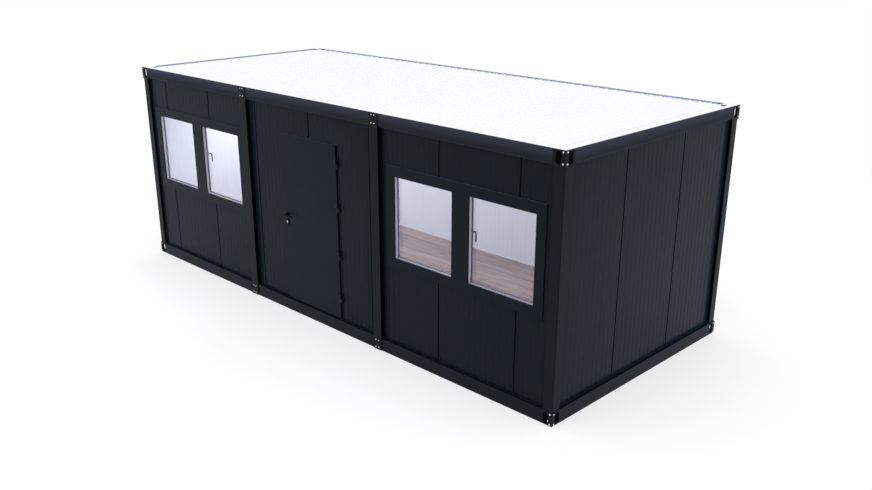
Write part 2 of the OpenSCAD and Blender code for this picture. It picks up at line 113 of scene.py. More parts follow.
class Side(Enum):
    """The cabin's upright sides, by their outward direction in plan."""

    FRONT = (0.0, -1.0)
    BACK = (0.0, 1.0)
    LEFT = (-1.0, 0.0)
    RIGHT = (1.0, 0.0)

    def directions(self) -> tuple[float, float, float, float]:
        """The directions along the side and outwards, as x, y, x and y."""
        return (-self.value[1], self.value[0], *self.value)


# Shader nodes
Value = Union["Socket", float, tuple]


def operator(operation: str, swapped: bool = False) -> Callable[..., "Socket"]:
    """Makes a method of Socket that adds one Math node.

    Args:
        operation: the node's operation.
        swapped: the other value stands on the left.

    Returns:
        The method.
    """
    def method(self: "Socket", other: Value = 0.0) -> "Socket":
        """Adds the node over this output and another value."""
        first, second = (other, self) if swapped else (self, other)
        return self.graph.node("ShaderNodeMath", {"operation": operation}, {0: first, 1: second})

    return method


class Socket:
    """An output of a shader node, on which arithmetic adds Math nodes."""

    __add__ = operator("ADD")
    __radd__ = operator("ADD", swapped=True)
    __sub__ = operator("SUBTRACT")
    __rsub__ = operator("SUBTRACT", swapped=True)
    __mul__ = operator("MULTIPLY")
    __rmul__ = operator("MULTIPLY", swapped=True)
    __truediv__ = operator("DIVIDE")
    __lt__ = operator("LESS_THAN")
    __gt__ = operator("GREATER_THAN")
    __abs__ = operator("ABSOLUTE")
    floor = operator("FLOOR")
    least = operator("MINIMUM")

    def __init__(self, graph: "Graph", link: bpy.types.NodeSocket) -> None:
        """Keeps the output and the graph that it belongs to."""
        self.graph = graph
        self.link = link

    def ramp(self, low: float, high: float) -> "Socket":
        """Eases from 0 at low to 1 at high and stays there."""
        return self.graph.node("ShaderNodeMapRange", {"interpolation_type": "SMOOTHSTEP"},
                               {"Value": self, "From Min": low, "From Max": high})


class Graph:
    """The node tree of one finish, or of the world."""

    def __init__(self, tree: bpy.types.NodeTree) -> None:
        """Empties the tree."""
        self.tree = tree
        tree.nodes.clear()

    def node(self, kind: str, settings: Optional[dict[str, Any]] = None,
             inputs: Optional[dict[Any, Value]] = None, output: Union[int, str] = 0) -> Optional[Socket]:
        """Adds a node.

        Args:
            kind: the node's type.
            settings: the node's own settings, set first.
            inputs: values or links of its sockets, by name or number.
            output: the output that is returned.

        Returns:
            The chosen output, or None on a node that has no outputs.
        """
        made = self.tree.nodes.new(kind)
        for name, value in (settings or {}).items():
            setattr(made, name, value)
        for key, value in (inputs or {}).items():
            if isinstance(value, Socket):
                self.tree.links.new(value.link, made.inputs[key])
            elif isinstance(value, tuple) and made.inputs[key].type == "RGBA":
                made.inputs[key].default_value = (*value[:3], 1.0)
            else:
                made.inputs[key].default_value = value
        return Socket(self, made.outputs[output]) if len(made.outputs) else None

    def place(self, stretch: Point = (1.0, 1.0, 1.0)) -> Socket:
        """Object coordinates, multiplied by a stretch along each axis."""
        return self.node("ShaderNodeMapping", None, {
            "Vector": self.node("ShaderNodeTexCoord", output="Object"), "Scale": stretch})

    def axes(self) -> tuple[Socket, ...]:
        """The object coordinates x, y and z."""
        return self.split(self.place())

    def split(self, vector: Socket) -> tuple[Socket, ...]:
        """The three parts of a vector."""
        parts = self.node("ShaderNodeSeparateXYZ", None, {0: vector}).link.node.outputs
        return tuple(Socket(self, part) for part in parts)

    def noise(self, scale: float, detail: float = 2.0, stretch: Point = (1.0, 1.0, 1.0)) -> Socket:
        """Cloudy noise with so many cells to the metre, as a value near a half."""
        return self.node("ShaderNodeTexNoise", None, {
            "Vector": self.place(stretch), "Scale": scale, "Detail": detail})

    def facing(self) -> tuple[Socket, ...]:
        """The surface's outward direction, as its parts along x, y and z."""
        return self.split(self.node("ShaderNodeNewGeometry", output="Normal"))

    def upward(self, low: float = 0.4, high: float = 0.95) -> Socket:
        """1 where the surface faces up, 0 where it is upright or faces down, eased between two slopes."""
        return self.facing()[2].ramp(low, high)

    def seen(self) -> Socket:
        """1 for rays that show what they meet, from the camera, a mirror or through glass, and 0 for others.

        Returns:
            The mask.
        """
        rays = self.node("ShaderNodeLightPath").link.node.outputs
        kinds = ("Camera", "Glossy", "Transmission")
        camera, glossy, through = (Socket(self, rays[f"Is {kind} Ray"]) for kind in kinds)
        return (camera + glossy + through).least(1.0)

    def blend(self, share: Value, low: Value, high: Value) -> Socket:
        """Colour that goes from low to high with the share."""
        return self.node("ShaderNodeMix", {"data_type": "RGBA"}, {0: share, 6: low, 7: high}, output=2)

    def vary(self, share: Value, colour: Colour, low: float, high: float) -> Socket:
        """A colour whose brightness goes from one factor to another with the share."""
        return self.blend(share, shade(colour, low), shade(colour, high))

    def bump(self, height: Socket, distance: float) -> Socket:
        """Normal tipped by a height field of so many metres."""
        return self.node("ShaderNodeBump", None, {"Height": height, "Distance": distance})

    def surface(self, inputs: dict[str, Value]) -> Socket:
        """The main surface shader."""
        return self.node("ShaderNodeBsdfPrincipled", None, inputs)


def shade(colour: Colour, factor: float) -> Colour:
    """The colour, made darker or paler by a factor."""
    return (colour[0] * factor, colour[1] * factor, colour[2] * factor)


@dataclass(frozen=True)
class Finish:
    """A material with a name of its own."""

    name: str

    def shader(self, graph: Graph) -> Socket:
        """Draws the finish.

        Args:
            graph: the material's empty node tree.

        Returns:
            The surface shader.
        """
        raise NotImplementedError

    def material(self) -> bpy.types.Material:
        """Makes the Blender material on first use.

        Returns:
            The material.
        """
        made = bpy.data.materials.get(self.name)
        if made is None:
            made = bpy.data.materials.new(self.name)
            made.use_nodes = True
            graph = Graph(made.node_tree)
            graph.node("ShaderNodeOutputMaterial", None, {"Surface": self.shader(graph)})
        return made


# Finishes
# Pale colour on what faces up: partly dust, partly painted light from above
DUST_AND_TOP_LIGHT: Colour = (0.155, 0.168, 0.190)
# Painted reflection: a bluish sheen at grazing angles stands in for the sky's reflection
PAINTED_SHEEN_TINT: Colour = (0.25, 0.55, 1.0)
PAINTED_SHEEN_ROUGHNESS = 0.4
# Colour of the painted highlight towards the top of the roof rails
PAINTED_TOP_LIGHT: Colour = (0.039, 0.046, 0.072)
FRAME_TONE: Colour = (0.0076, 0.0097, 0.0140)


def painted_sheen_sockets(weight: float) -> dict[str, Value]:
    """Settings of a painted bluish sheen towards the edge of sight, standing in for a blue sky reflection."""
    return {"Sheen Weight": weight, "Sheen Roughness": PAINTED_SHEEN_ROUGHNESS, "Sheen Tint": PAINTED_SHEEN_TINT}


@dataclass(frozen=True)
class Cloud:
    """A cloudy pattern: noise with so many cells to the metre, eased from 0 at low to 1 at high."""

    scale: float
    detail: float
    low: float
    high: float
    stretch: Point = (1.0, 1.0, 1.0)

    def draw(self, graph: Graph) -> Socket:
        """The pattern as a value from 0 to 1."""
        return graph.noise(self.scale, self.detail, self.stretch).ramp(self.low, self.high)


@dataclass(frozen=True)
class Relief:
    """A fine relief: noise with so many cells to the metre, so many metres deep."""

    scale: float
    detail: float
    depth: float

    def draw(self, graph: Graph) -> Socket:
        """The normal, tipped by the relief."""
        return graph.bump(graph.noise(self.scale, self.detail), self.depth)


@dataclass(frozen=True)
class Cells:
    """A leathery relief: rounded cells, so many to the metre and so many metres deep."""

    scale: float
    depth: float

    def draw(self, graph: Graph) -> Socket:
        """The normal, tipped by the cells."""
        return graph.bump(graph.node("ShaderNodeTexVoronoi", {"feature": "SMOOTH_F1"}, {
            "Vector": graph.place(), "Scale": self.scale}), self.depth)


@dataclass(frozen=True)
class PowderCoat(Finish):
    """Anthracite powder coat: fine orange peel, cloudy tone, and a pale tone on what faces up that is partly
    dust and partly painted light from above.
    """

    colour: Colour
    roughness: float = 0.34
    specular: float = 0.065
    peel: Relief = Relief(900.0, 1.0, 0.00002)
    dust_and_top_light: float = 0.06
    painted_sheen: float = 0.08
    film_and_painted_light: tuple[float, float] = (0.0, 0.0)
    cloud: Cloud = Cloud(1.3, 3.0, 0.32, 0.68)
    mottle: Cloud = Cloud(34.0, 4.0, 0.3, 0.7)
    tones: tuple[float, float] = (0.93, 1.07)
    mottle_roughness: float = 0.07
    least_dust_and_top_light: float = 0.4
    least_painted_light: float = 0.88

    def shader(self, graph: Graph) -> Socket:
        """Tone from a wide cloud, gloss from a finer one, and a pale tone by how far the surface faces up,
        partly dust and partly painted light. A painted highlight, where there is one, comes in between two
        heights.

        Args:
            graph: the material's empty node tree.

        Returns:
            The surface shader.
        """
        mottle = self.mottle.draw(graph)
        # Pale tone on what faces up: partly dust, partly painted light from above.
        dust_and_top_light = graph.upward() * (self.least_dust_and_top_light + (1 - self.least_dust_and_top_light) * mottle) * self.dust_and_top_light
        tone = graph.vary(self.cloud.draw(graph), self.colour, *self.tones)
        # Painted highlight: a lighter, bluer tone towards the top stands in for light falling on the roof
        # rail.
        if self.film_and_painted_light[1] > self.film_and_painted_light[0]:
            height = graph.axes()[2].ramp(*self.film_and_painted_light)
            tone = graph.blend(height * (self.least_painted_light + (1 - self.least_painted_light) * mottle), tone, PAINTED_TOP_LIGHT)
        return graph.surface({
            "Base Color": graph.blend(dust_and_top_light, tone, DUST_AND_TOP_LIGHT),
            "Roughness": self.roughness + self.mottle_roughness * mottle + dust_and_top_light,
            "Specular IOR Level": self.specular,
            "Normal": self.peel.draw(graph),
            **painted_sheen_sockets(self.painted_sheen)})


@dataclass(frozen=True)
class PanelSkin(Finish):
    """Sandwich panel: coated anthracite skin outside, white skin towards the room."""

    outer: Colour
    inner: Colour
    room: tuple[float, float]
    skin: float = 0.001
    panel: float = 1.0
    groove_pitch: float = 1 / 13
    groove_edge: tuple[float, float] = (0.02, 0.06)
    painted_groove_shade: float = 0.15
    tones: tuple[float, float] = (0.92, 1.08)
    batch_share: float = 0.35
    streak_share: float = 0.35
    cloud_share: float = 0.3
    inner_tone: float = 0.90
    inner_groove_shade: float = 0.75
    streak: Cloud = Cloud(1.0, 4.0, 0.3, 0.72, (26.0, 26.0, 0.7))
    cloud: Cloud = Cloud(1.1, 3.0, 0.3, 0.7)
    wave_scale: float = 2.6
    wave_stretch: Point = (1.0, 1.0, 0.35)
    wave_depth: float = 0.0006
    grain_scale: float = 420.0
    grain_share: float = 0.03
    roughness: float = 0.24
    streak_roughness: float = 0.08
    specular: float = 0.065
    painted_sheen: float = 0.14

    def shader(self, graph: Graph) -> Socket:
        """The room's skin is what lies within the room's planes. Outside, each panel has a tone of its own,
        grooves darkened as painted shade, upright rain streaks and the slight waviness of rolled sheet.

        Args:
            graph: the material's empty node tree.

        Returns:
            The surface shader.
        """
        x, y, _ = graph.axes()
        on_end = 0.5 < abs(graph.facing()[0])
        run = (x * (1 - on_end) + (y + self.groove_pitch / 2) * on_end) / self.groove_pitch
        groove = 1 - abs(run - run.floor() - 0.5).ramp(*self.groove_edge)
        inside = (abs(x) < self.room[0] + self.skin) * (abs(y) < self.room[1] + self.skin)
        number = graph.node("ShaderNodeCombineXYZ", None, {
            0: (x / self.panel).floor(), 1: (y / self.panel + 0.5).floor()})
        batch = graph.node("ShaderNodeTexWhiteNoise", None, {"Vector": number})
        streak = self.streak.draw(graph)
        cloud = self.cloud.draw(graph)
        share = self.batch_share * batch + self.streak_share * streak + self.cloud_share * cloud
        flat = graph.vary(share, self.outer, *self.tones)
        # Painted shade: the grooves are darkened in the colour.
        tone = graph.blend(groove, flat, shade(self.outer, self.painted_groove_shade))
        # The room's skin darkens in the grooves as painted shade, and with the dirt cloud.
        soil = self.inner_groove_shade * groove + (1 - self.inner_groove_shade) * cloud
        white = graph.vary(soil, self.inner, 1.0, self.inner_tone)
        wave = graph.noise(self.wave_scale, 1.0, self.wave_stretch)
        grain = self.grain_share * graph.noise(self.grain_scale, 1.0)
        return graph.surface({
            "Base Color": graph.blend(inside, tone, white),
            "Roughness": self.roughness + self.streak_roughness * streak,
            "Specular IOR Level": self.specular,
            "Normal": graph.bump(wave + grain, self.wave_depth),
            **painted_sheen_sockets(self.painted_sheen)})


@dataclass(frozen=True)
class WhiteSheet(Finish):
    """White coated sheet of the roof, with faint run-off marks along its ribs."""

    colour: Colour
    # Painted shade: upright folds get this darker blue-grey.
    edge: Colour = (0.27, 0.32, 0.46)
    painted_flank_light: float = 1.04
    soiled: float = 0.985
    fold: tuple[float, float] = (0.1, 0.4)
    flank: tuple[float, float] = (0.75, 0.95)
    run: Cloud = Cloud(1.0, 5.0, 0.45, 0.8, (14.0, 0.8, 4.0))
    cloud: Cloud = Cloud(0.9, 4.0, 0.4, 0.75)
    run_share: float = 0.5
    grain: Relief = Relief(240.0, 2.0, 0.00003)
    roughness: float = 0.42
    soil_roughness: float = 0.12
    specular: float = 0.25

    def shader(self, graph: Graph) -> Socket:
        """Run-off marks are noise drawn out across the roof, on a wider cloud of dust. Upright folds get a
        darker blue-grey as painted shade, and the ribs' flanks are made paler as painted light.

        Args:
            graph: the material's empty node tree.

        Returns:
            The surface shader.
        """
        soil = self.run_share * self.run.draw(graph) + (1 - self.run_share) * self.cloud.draw(graph)
        pan = graph.vary(soil, self.colour, 1.0, self.soiled)
        # Painted light: the ribs' flanks are made paler to even out their shading.
        level = graph.blend(graph.upward(*self.flank), shade(self.colour, self.painted_flank_light), pan)
        return graph.surface({
            "Base Color": graph.blend(graph.upward(*self.fold), self.edge, level),
            "Roughness": self.roughness + self.soil_roughness * soil,
            "Specular IOR Level": self.specular,
            "Normal": self.grain.draw(graph)})


@dataclass(frozen=True)
class ClearGlass(Finish):
    """Clear sealed pane: passes light, and mirrors it more towards the edge of sight."""

    tint: Colour = (0.945, 0.950, 0.985)
    index: float = 1.45
    gloss: float = 0.12
    film_and_painted_light: Cloud = Cloud(5.0, 4.0, 0.35, 0.75)
    film_loss: float = 0.05
    roughness: float = 0.03

    def shader(self, graph: Graph) -> Socket:
        """Mix of clear and mirror by the Fresnel share, broken by a faint film of dust.

        Args:
            graph: the material's empty node tree.

        Returns:
            The surface shader.
        """
        fresnel = graph.node("ShaderNodeFresnel", None, {"IOR": self.index})
        share = fresnel * (self.gloss - self.film_loss * self.film_and_painted_light.draw(graph))
        clear = graph.node("ShaderNodeBsdfTransparent", None, {"Color": self.tint})
        mirror = graph.node("ShaderNodeBsdfGlossy", None, {"Roughness": self.roughness})
        return graph.node("ShaderNodeMixShader", None, {0: share, 1: clear, 2: mirror})


@dataclass(frozen=True)
class Laminate(Finish):
    """Grey-brown laminate boards along the room, with drawn-out grain and fine joints."""

    early: Colour = (0.36, 0.270, 0.255)
    late: Colour = (0.13, 0.086, 0.084)
    board_l: float = 1.28
    board_w: float = 0.192
    row_offset: float = 0.37
    joint_w: float = 0.0012
    joint_soft: float = 0.1
    joint_tone: float = 0.35
    board_shift: float = 17.0
    grain_stretch: Point = (1.6, 22.0, 1.0)
    grain_scale: float = 1.7
    grain_detail: float = 6.0
    grain_break: float = 0.62
    grain_bend: float = 0.35
    grain_share: float = 0.32
    grain_edge: tuple[float, float] = (0.3, 0.72)
    figure: Cloud = Cloud(1.0, 3.0, 0.36, 0.64, (1.1, 12.0, 1.0))
    figure_share: float = 0.34
    line: Cloud = Cloud(1.0, 3.0, 0.4, 0.72, (3.0, 340.0, 1.0))
    line_share: float = 0.14
    line_height: float = 0.12
    board_share: float = 0.2
    depth: float = 0.0005
    roughness: float = 0.42
    grain_roughness: float = 0.14
    specular: float = 0.3

    def shader(self, graph: Graph) -> Socket:
        """Each board shifts the grain by its own number. Grain and the wider figure are noise drawn out along
        the boards.

        Args:
            graph: the material's empty node tree.

        Returns:
            The surface shader.
        """
        boards = graph.node("ShaderNodeTexBrick", {"offset": self.row_offset, "offset_frequency": 2}, {
            "Vector": graph.place(), "Color1": (0.0, 0.0, 0.0), "Color2": (1.0, 1.0, 1.0),
            "Mortar": (0.5, 0.5, 0.5), "Scale": 1.0, "Mortar Size": self.joint_w,
            "Mortar Smooth": self.joint_soft, "Brick Width": self.board_l, "Row Height": self.board_w})
        joint = Socket(graph, boards.link.node.outputs["Fac"])
        own = graph.node("ShaderNodeCombineXYZ", None, {2: boards * self.board_shift})
        moved = graph.node("ShaderNodeVectorMath", {"operation": "ADD"}, {
            0: graph.place(self.grain_stretch), 1: own})
        grain = graph.node("ShaderNodeTexNoise", None, {
            "Vector": moved, "Scale": self.grain_scale, "Detail": self.grain_detail,
            "Roughness": self.grain_break, "Distortion": self.grain_bend})
        figure = self.figure.draw(graph)
        line = self.line.draw(graph)
        share = (self.grain_share * grain.ramp(*self.grain_edge) + self.figure_share * figure
                 + self.line_share * line + self.board_share * boards)
        wood = graph.blend(share, self.early, self.late)
        return graph.surface({
            "Base Color": graph.blend(joint, wood, shade(self.late, self.joint_tone)),
            "Roughness": self.roughness + self.grain_roughness * grain,
            "Specular IOR Level": self.specular,
            "Normal": graph.bump((1 - joint) + self.line_height * line, self.depth)})


@dataclass(frozen=True)
class Galvanised(Finish):
    """Zinc coated steel with its crystal spangle."""

    colour: Colour = (0.52, 0.53, 0.54)
    dull: float = 0.82
    cells: float = 55.0
    cell_share: float = 0.5
    cloud: Cloud = Cloud(6.0, 4.0, 0.3, 0.7)
    depth: float = 0.00004
    roughness: float = 0.34
    crystal_roughness: float = 0.16
    cloud_roughness: float = 0.1
    metallic: float = 0.92

    def shader(self, graph: Graph) -> Socket:
        """Each crystal has a tone and gloss of its own, under a dull cloud.

        Args:
            graph: the material's empty node tree.

        Returns:
            The surface shader.
        """
        crystal = graph.node("ShaderNodeTexVoronoi", None, {"Vector": graph.place(), "Scale": self.cells},
                             output="Color")
        tone = graph.node("ShaderNodeSeparateColor", None, {0: crystal})
        cloud = self.cloud.draw(graph)
        share = self.cell_share * tone + (1 - self.cell_share) * cloud
        return graph.surface({
            "Base Color": graph.vary(share, self.colour, self.dull, 1.0),
            "Roughness": self.roughness + self.crystal_roughness * tone + self.cloud_roughness * cloud,
            "Metallic": self.metallic,
            "Normal": graph.bump(tone, self.depth)})


@dataclass(frozen=True)
class Patchy(Finish):
    """One colour with patches of another tone and gloss, over a fine relief, and, where a tone is given,
    painted shade darkening what faces up.
    """

    colour: Colour
    patch: Cloud
    patch_tone: float
    roughness: float
    patch_roughness: float
    relief: Union[Relief, Cells]
    specular: float = 0.5
    metallic: float = 0.0
    painted_top_shade: float = 1.0

    def shader(self, graph: Graph) -> Socket:
        """Patches by a cloud, which changes tone and roughness together. Where a tone is given, what faces up
        is darkened to it as painted shade.

        Args:
            graph: the material's empty node tree.

        Returns:
            The surface shader.
        """
        patch = self.patch.draw(graph)
        tone = graph.vary(patch, self.colour, 1.0, self.patch_tone)
        # Painted shade: what faces up is darkened.
        if self.painted_top_shade != 1.0:
            tone = graph.blend(graph.upward(), tone, shade(self.colour, self.painted_top_shade))
        return graph.surface({
            "Base Color": tone,
            "Roughness": self.roughness + self.patch_roughness * patch,
            "Specular IOR Level": self.specular,
            "Metallic": self.metallic,
            "Normal": self.relief.draw(graph)})


@dataclass(frozen=True)
class BrightZinc(Patchy):
    """Bright zinc of bolts and washers, dull in patches, with a fine grain."""

    colour: Colour = (0.86, 0.87, 0.89)
    patch: Cloud = Cloud(160.0, 3.0, 0.35, 0.7)
    patch_tone: float = 0.84
    roughness: float = 0.26
    patch_roughness: float = 0.16
    relief: Union[Relief, Cells] = Relief(900.0, 2.0, 0.00002)
    metallic: float = 1.0


@dataclass(frozen=True)
class SealRubber(Patchy):
    """Matt seal rubber or foam, black unless given a colour, chalky in patches and finely rough."""

    colour: Colour = (0.0022, 0.0024, 0.0034)
    patch: Cloud = Cloud(70.0, 4.0, 0.4, 0.75)
    patch_tone: float = 1.8
    roughness: float = 0.62
    patch_roughness: float = 0.2
    relief: Union[Relief, Cells] = Relief(600.0, 2.0, 0.00003)
    specular: float = 0.03


@dataclass(frozen=True)
class CeilingBoard(Patchy):
    """White coated ceiling board with a light stipple."""

    colour: Colour = (0.78, 0.78, 0.80)
    patch: Cloud = Cloud(1.6, 3.0, 0.3, 0.7)
    patch_tone: float = 0.96
    roughness: float = 0.55
    patch_roughness: float = 0.1
    relief: Union[Relief, Cells] = Relief(300.0, 3.0, 0.00008)


@dataclass(frozen=True)
class WindowPlastic(Patchy):
    """White window plastic, faintly cloudy, with a fine moulded skin; its colour is darkened as painted
    shade, and what faces up darker still.
    """

    # Painted shade: the base colour is a darker grey-lavender than the white plastic.
    colour: Colour = (0.48, 0.475, 0.54)
    patch: Cloud = Cloud(9.0, 3.0, 0.35, 0.7)
    patch_tone: float = 0.96
    roughness: float = 0.28
    patch_roughness: float = 0.08
    relief: Union[Relief, Cells] = Relief(240.0, 2.0, 0.00002)
    specular: float = 0.4
    painted_top_shade: float = 0.5


@dataclass(frozen=True)
class MouldedPlastic(Patchy):
    """Black moulded plastic with a fine leathery grain, polished in patches where hands hold it."""

    colour: Colour = (0.0020, 0.0022, 0.0030)
    patch: Cloud = Cloud(26.0, 3.0, 0.35, 0.7)
    patch_tone: float = 1.5
    roughness: float = 0.42
    patch_roughness: float = -0.12
    relief: Union[Relief, Cells] = Cells(900.0, 0.00004)
    specular: float = 0.03


@dataclass(frozen=True)
class BrushedPlate(Finish):
    """Nickel plate of lock parts, brushed one way."""

    colour: Colour = (0.74, 0.73, 0.70)
    brush_tone: float = 0.86
    brush_stretch: Point = (160.0, 900.0, 2600.0)
    depth: float = 0.00002
    roughness: float = 0.22
    brush_roughness: float = 0.16

    def shader(self, graph: Graph) -> Socket:
        """Brush marks are noise drawn out along X.

        Args:
            graph: the material's empty node tree.

        Returns:
            The surface shader.
        """
        brush = graph.noise(1.0, 3.0, self.brush_stretch)
        return graph.surface({
            "Base Color": graph.vary(brush, self.colour, 1.0, self.brush_tone),
            "Roughness": self.roughness + self.brush_roughness * brush,
            "Metallic": 1.0,
            "Normal": graph.bump(brush, self.depth)})


@dataclass(frozen=True)
class StudioFloor(Finish):
    """Pale floor that takes the cabin's shadow and reads as white further out."""

    colour: Colour = (0.54, 0.54, 0.55)
    lift: float = 0.52
    near: float = 5.0
    far: float = 11.0

    def shader(self, graph: Graph) -> Socket:
        """A matt floor plus a lift of light for rays that show it, and plain white beyond the far radius.

        Args:
            graph: the material's empty node tree.

        Returns:
            The surface shader.
        """
        seen = graph.seen()
        reach = graph.node("ShaderNodeVectorMath", {"operation": "LENGTH"}, {0: graph.place()},
                           output="Value")
        matt = graph.node("ShaderNodeBsdfDiffuse", None, {"Color": self.colour})
        glow = graph.node("ShaderNodeEmission", None, {"Strength": seen * self.lift})
        lit = graph.node("ShaderNodeAddShader", None, {0: matt, 1: glow})
        white = graph.node("ShaderNodeEmission", None, {"Strength": 1.0})
        return graph.node("ShaderNodeMixShader", None, {
            0: seen * reach.ramp(self.near, self.far), 1: lit, 2: white})


# Meshes
MERGE_WITHIN = 1e-6


class Shell:
    """Points and faces of one piece, gathered from grids of points."""

    def __init__(self) -> None:
        """Starts empty."""
        self.points: list[Array] = []
        self.faces: list[list[int]] = []
        self.count = 0

    def add(self, grids: Array, close_rows: bool = False, close_cols: bool = True) -> "Shell":
        """Adds grids of points as surfaces. Neighbouring points of a grid make a face with the next row and
        column, round again where it is closed, and open end rows get a flat cap.

        Args:
            grids: points as (..., rows, columns, 3).
            close_rows: the last row joins the first, as in a loop.
            close_cols: the last column joins the first, as in a tube.

        Returns:
            The shell itself.
        """
        rows, cols = grids.shape[-3:-1]
        grids = grids.reshape(-1, rows, cols, 3)
        step = rows * cols
        starts = self.count + step * np.arange(len(grids))
        row, col = np.meshgrid(np.arange(rows - (not close_rows)), np.arange(cols - (not close_cols)),
                               indexing="ij")
        right, below = (col + 1) % cols, (row + 1) % rows
        quads = np.stack([row * cols + col, row * cols + right, below * cols + right, below * cols + col], -1)
        faces = quads.reshape(1, -1, 4) + starts[:, None, None]
        self.faces += faces.reshape(-1, 4).tolist()
        if not close_rows and close_cols:
            ends = np.stack([np.arange(cols), (rows - 1) * cols + np.arange(cols)])
            self.faces += (ends[None] + starts[:, None, None]).reshape(-1, cols).tolist()
        self.points.append(grids.reshape(-1, 3))
        self.count += step * len(grids)
        return self

    def piece(self, name: str, finish: Finish, body: Body, slot: Slot, sharp: float = 35.0,
              replaces: tuple[str, ...] = ()) -> bpy.types.Object:
        """Turns the gathered faces into a piece on a body.

        Args:
            name: the piece's name.
            finish: what covers it.
            body: the body that it rides on.
            slot: the record's slot that its finish belongs to; not used.
            sharp: edges that turn by more than this many degrees stay sharp.
            replaces: CAD nodes that it stands for.

        Returns:
            The piece's object, at the origin with its place in its mesh.
        """
        mesh = bpy.data.meshes.new(name)
        mesh.from_pydata(np.concatenate(self.points).tolist(), [], self.faces)
        work = bmesh.new()
        work.from_mesh(mesh)
        bmesh.ops.remove_doubles(work, verts=work.verts, dist=MERGE_WITHIN)
        bmesh.ops.recalc_face_normals(work, faces=work.faces)
        work.to_mesh(mesh)
        work.free()
        mesh.polygons.foreach_set("use_smooth", np.ones(len(mesh.polygons), bool))
        mesh.set_sharp_from_angle(angle=math.radians(sharp))
        mesh.materials.append(finish.material())
        made = bpy.data.objects.new(name, mesh)
        bpy.context.scene.collection.objects.link(made)
        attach(made, body.value)
        if replaces:
            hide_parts(*replaces)
        LOG.info("piece %s on %s: %d faces", name, body.value, len(mesh.polygons))
        return made


def arc(stop: float, points: int) -> Array:
    """Points of (n, 2) on the unit circle, from the first axis round to an angle: cos a, sin a."""
    angle = np.linspace(0.0, stop, points)
    return np.stack([np.cos(angle), np.sin(angle)], -1)


def turned(profile: Array, sides: int) -> Array:
    """A profile of (radius, height) rows turned round the height: x = r cos a, y = r sin a, z = height.

    Args:
        profile: rows of radius and height.
        sides: points round the turn.

    Returns:
        A grid of (rows, sides, 3).
    """
    angle = np.arange(sides) * (math.tau / sides)
    radius, height = profile[:, :1], profile[:, 1:]
    return np.stack(np.broadcast_arrays(radius * np.cos(angle), radius * np.sin(angle), height), -1)


def oval(profile: Array, half_run: float, sides: int) -> Array:
    """A profile of (radius, height) rows carried round an upright oval: a circle whose upper half is lifted
    and lower half dropped by the half run.

    Args:
        profile: rows of radius and height.
        half_run: half of the oval's straight run.
        sides: points round the oval, an even number.

    Returns:
        A grid of (rows, sides, 3), upright along the second axis.
    """
    grid = turned(profile, sides)
    angle = (np.arange(sides) + 0.5) * (math.tau / sides)
    grid[..., 0] = profile[:, :1] * np.cos(angle)
    grid[..., 1] = profile[:, :1] * np.sin(angle) + half_run * np.sign(np.sin(angle))
    return grid


def facing(grid: Array, spots: Array, normals: Array) -> Array:
    """Copies a grid to spots, so that its height runs along each spot's normal and its second axis up.

    Args:
        grid: points of (rows, columns, 3).
        spots: places of (n, 3).
        normals: level outward directions of (n, 3).

    Returns:
        Grids of (n, rows, columns, 3).
    """
    across = np.cross(UP, normals)
    place = (slice(None), None, None)
    return (spots[place] + across[place] * grid[None, ..., :1] + UP * grid[None, ..., 1:2]
            + normals[place] * grid[None, ..., 2:])


def loops(low: Array, high: Array, profile: Array) -> Array:
    """Carries a profile of (inset, depth) points round upright rectangles with mitred corners: each corner
    moves inwards by the inset along both sides, and the depth is the place along Y.

    Args:
        low: low corners (x, z) of (n, 2).
        high: high corners (x, z) of (n, 2).
        profile: points of (k, 2).

    Returns:
        Grids of (n, 4, k, 3), closed along the four corners.
    """
    corner = np.array([[0, 0], [1, 0], [1, 1], [0, 1]])
    inward = 1 - 2 * corner
    base = np.where(corner[None] == 1, high[:, None], low[:, None])
    plane = base[:, :, None, :] + inward[None, :, None, :] * profile[None, None, :, :1]
    depth = np.broadcast_to(profile[None, None, :, 1], plane.shape[:3])
    return np.stack([plane[..., 0], depth, plane[..., 1]], -1)


def uprights(runs: Array, profile: Array) -> Array:
    """Carries a closed profile of (across, out) points straight up: a run's place in plan plus the point's
    shares of its two directions, at its low and at its high end.

    Args:
        runs: rows of x, y, low, high, across x, across y, out x and out y.
        profile: points of (k, 2).

    Returns:
        Grids of (n, 2, k, 3).
    """
    place, ends, across, out = (part[:, None] for part in np.hsplit(runs, 4))
    plan = (place + across * profile[:, :1] + out * profile[:, 1:])[:, None]
    return np.stack(np.broadcast_arrays(plan[..., 0], plan[..., 1], ends.swapaxes(1, 2)), -1)


def tube(path: Array, level: Array, half_level: Array, half_other: Array, sides: int) -> Array:
    """Carries an ellipse along a path in a plane: one half axis along the plane's normal, the other square to
    it and to the path.

    Args:
        path: points of (n, 3).
        level: the plane's normal.
        half_level: half axis along the normal at each point.
        half_other: the other half axis at each point.
        sides: points round the ellipse.

    Returns:
        A grid of (n, sides, 3).
    """
    along = np.gradient(path, axis=0)
    along /= np.linalg.norm(along, axis=1, keepdims=True)
    other = np.cross(along, level)
    angle = np.arange(sides) * (math.tau / sides)
    return (path[:, None] + level * (half_level[:, None] * np.cos(angle))[..., None]
            + other[:, None] * (half_other[:, None] * np.sin(angle))[..., None])


BEND_POINTS = 9
ARM_POINTS = 6
TIP_POINTS = 5
TIP_SHARE = 0.96


